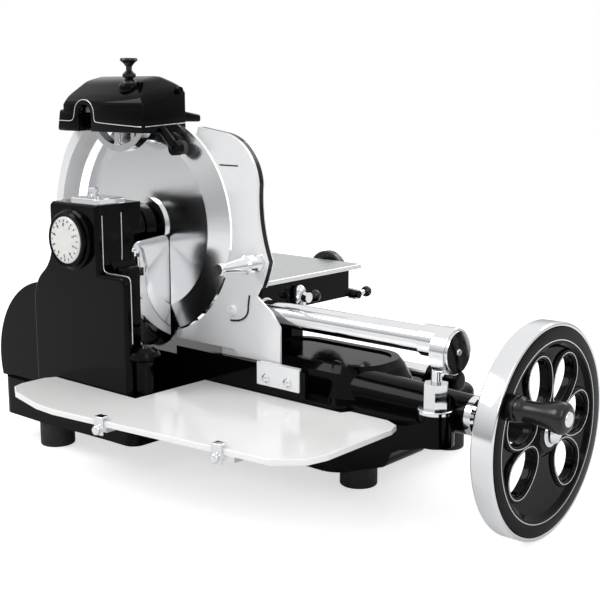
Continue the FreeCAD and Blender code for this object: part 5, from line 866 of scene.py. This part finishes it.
# ---------------------------------------------------------------- pinstripes
def column_lines():
    """Silver lines along the column's corner, over its shoulder and down the wing."""
    x, y = 38.5, -123.0
    first = [at(x, y, 352.0), at(x, y, 330.0), at(x, y, 292.0), at(x + 0.2, y, 280.0),
             at(x + 8.0, y, 277.6), at(60.0, y, 277.6), at(80.0, y, 277.6), at(91.0, y, 276.5),
             at(92.6, y, 266.0), at(92.6, y, 190.0)]
    second = [at(x, -91.0, 354.0), at(x, -91.0, 330.0), at(x, -91.0, 300.0), at(x, -92.0, 291.0)]
    beads("column_lines", "frame", "aluminium", [first, second], 0.0007)


column_lines()


# ---------------------------------------------------------------- floor and sky
FLOOR_SIZE = 12.0
FLOOR_GREY = (0.8, 0.8, 0.8, 1.0)
FLOOR_GLOW = 0.6
SOFT_SKY = 0.8  # as it lights rough surfaces
# How bright mirrors show it, from the horizon upwards.
SKY_RISE = {"From Min": 0.02, "From Max": 0.45, "To Min": 0.42, "To Max": 0.95}


def seen_directly(tree, path):
    """1 for what the camera sees straight or through glass, else 0."""
    return compute(tree, "MAXIMUM", path.outputs["Is Camera Ray"], path.outputs["Is Transmission Ray"])


def floor_finish():
    """White paper floor that takes the shadow and glows only where the camera sees it."""
    material = bpy.data.materials.new("white_paper_floor")
    tree = emptied(material)
    seen = seen_directly(tree, add(tree, "ShaderNodeLightPath"))
    paper = add(tree, "ShaderNodeBsdfDiffuse", {"Color": FLOOR_GREY})
    glow = add(tree, "ShaderNodeEmission", {"Strength": compute(tree, "MULTIPLY", seen, FLOOR_GLOW)})
    both = add(tree, "ShaderNodeAddShader", {0: paper.outputs["BSDF"], 1: glow.outputs["Emission"]})
    add(tree, "ShaderNodeOutputMaterial", {"Surface": both.outputs["Shader"]})
    return material


def studio_sky(world):
    """White behind the object; mirrors see it darker towards the horizon."""
    tree = emptied(world)
    path = add(tree, "ShaderNodeLightPath")
    height = add(tree, "ShaderNodeSeparateXYZ",
                 {"Vector": add(tree, "ShaderNodeTexCoord").outputs["Generated"]}).outputs["Z"]
    mirrored = add(tree, "ShaderNodeMapRange", {"Value": height, **SKY_RISE}).outputs["Result"]
    level = SOFT_SKY
    for factor, other in ((path.outputs["Is Glossy Ray"], mirrored), (seen_directly(tree, path), 1.0)):
        level = add(tree, "ShaderNodeMix", {"Factor": factor, "A": level, "B": other},
                    data_type="FLOAT").outputs["Result"]
    shade = add(tree, "ShaderNodeBackground", {"Strength": level, "Color": (1.0, 1.0, 1.0, 1.0)})
    add(tree, "ShaderNodeOutputWorld", {"Surface": shade.outputs["Background"]})


bpy.ops.mesh.primitive_plane_add(size=FLOOR_SIZE, location=(0.0, 0.0, 0.0))
floor = bpy.context.object
floor.name = "floor"
wear(floor, floor_finish())

scene = bpy.context.scene
scene.world = bpy.data.worlds.new("studio")
studio_sky(scene.world)


# ---------------------------------------------------------------- lamps and camera
LAMP_AIM = Vector((0.0, 0.0, 0.2))
CAMERA_PLACE = Vector((0.948160, -1.067060, 0.510101))
CAMERA_LOOK = Vector((-0.645418, 0.740840, -0.185989))
LENS, SENSOR = 66.06, 36.0  # millimetres


def facing(made, place, look):
    """Puts a lamp or camera at its place, looking along a direction."""
    scene.collection.objects.link(made)
    made.location = place
    made.rotation_euler = look.to_track_quat("-Z", "Y").to_euler()


def lamp(name, place, size, power):
    """Soft rectangular studio lamp."""
    data = bpy.data.lights.new(name, "AREA")
    data.shape = "RECTANGLE"
    data.size, data.size_y = size
    data.energy = power
    facing(bpy.data.objects.new(name, data), place, LAMP_AIM - Vector(place))


lamp("key_lamp", (-1.2, -1.6, 2.0), (1.2, 1.2), 22.0)
lamp("fill_lamp", (2.2, -0.6, 1.4), (1.0, 1.6), 9.0)
lamp("back_lamp", (0.2, 2.0, 1.9), (1.8, 0.8), 12.0)

eye = bpy.data.cameras.new("camera")
eye.sensor_width = SENSOR
eye.lens = LENS
eye.clip_start = 0.01
camera = bpy.data.objects.new("camera", eye)
facing(camera, CAMERA_PLACE, CAMERA_LOOK)
scene.camera = camera
scene.view_settings.view_transform = "Standard"
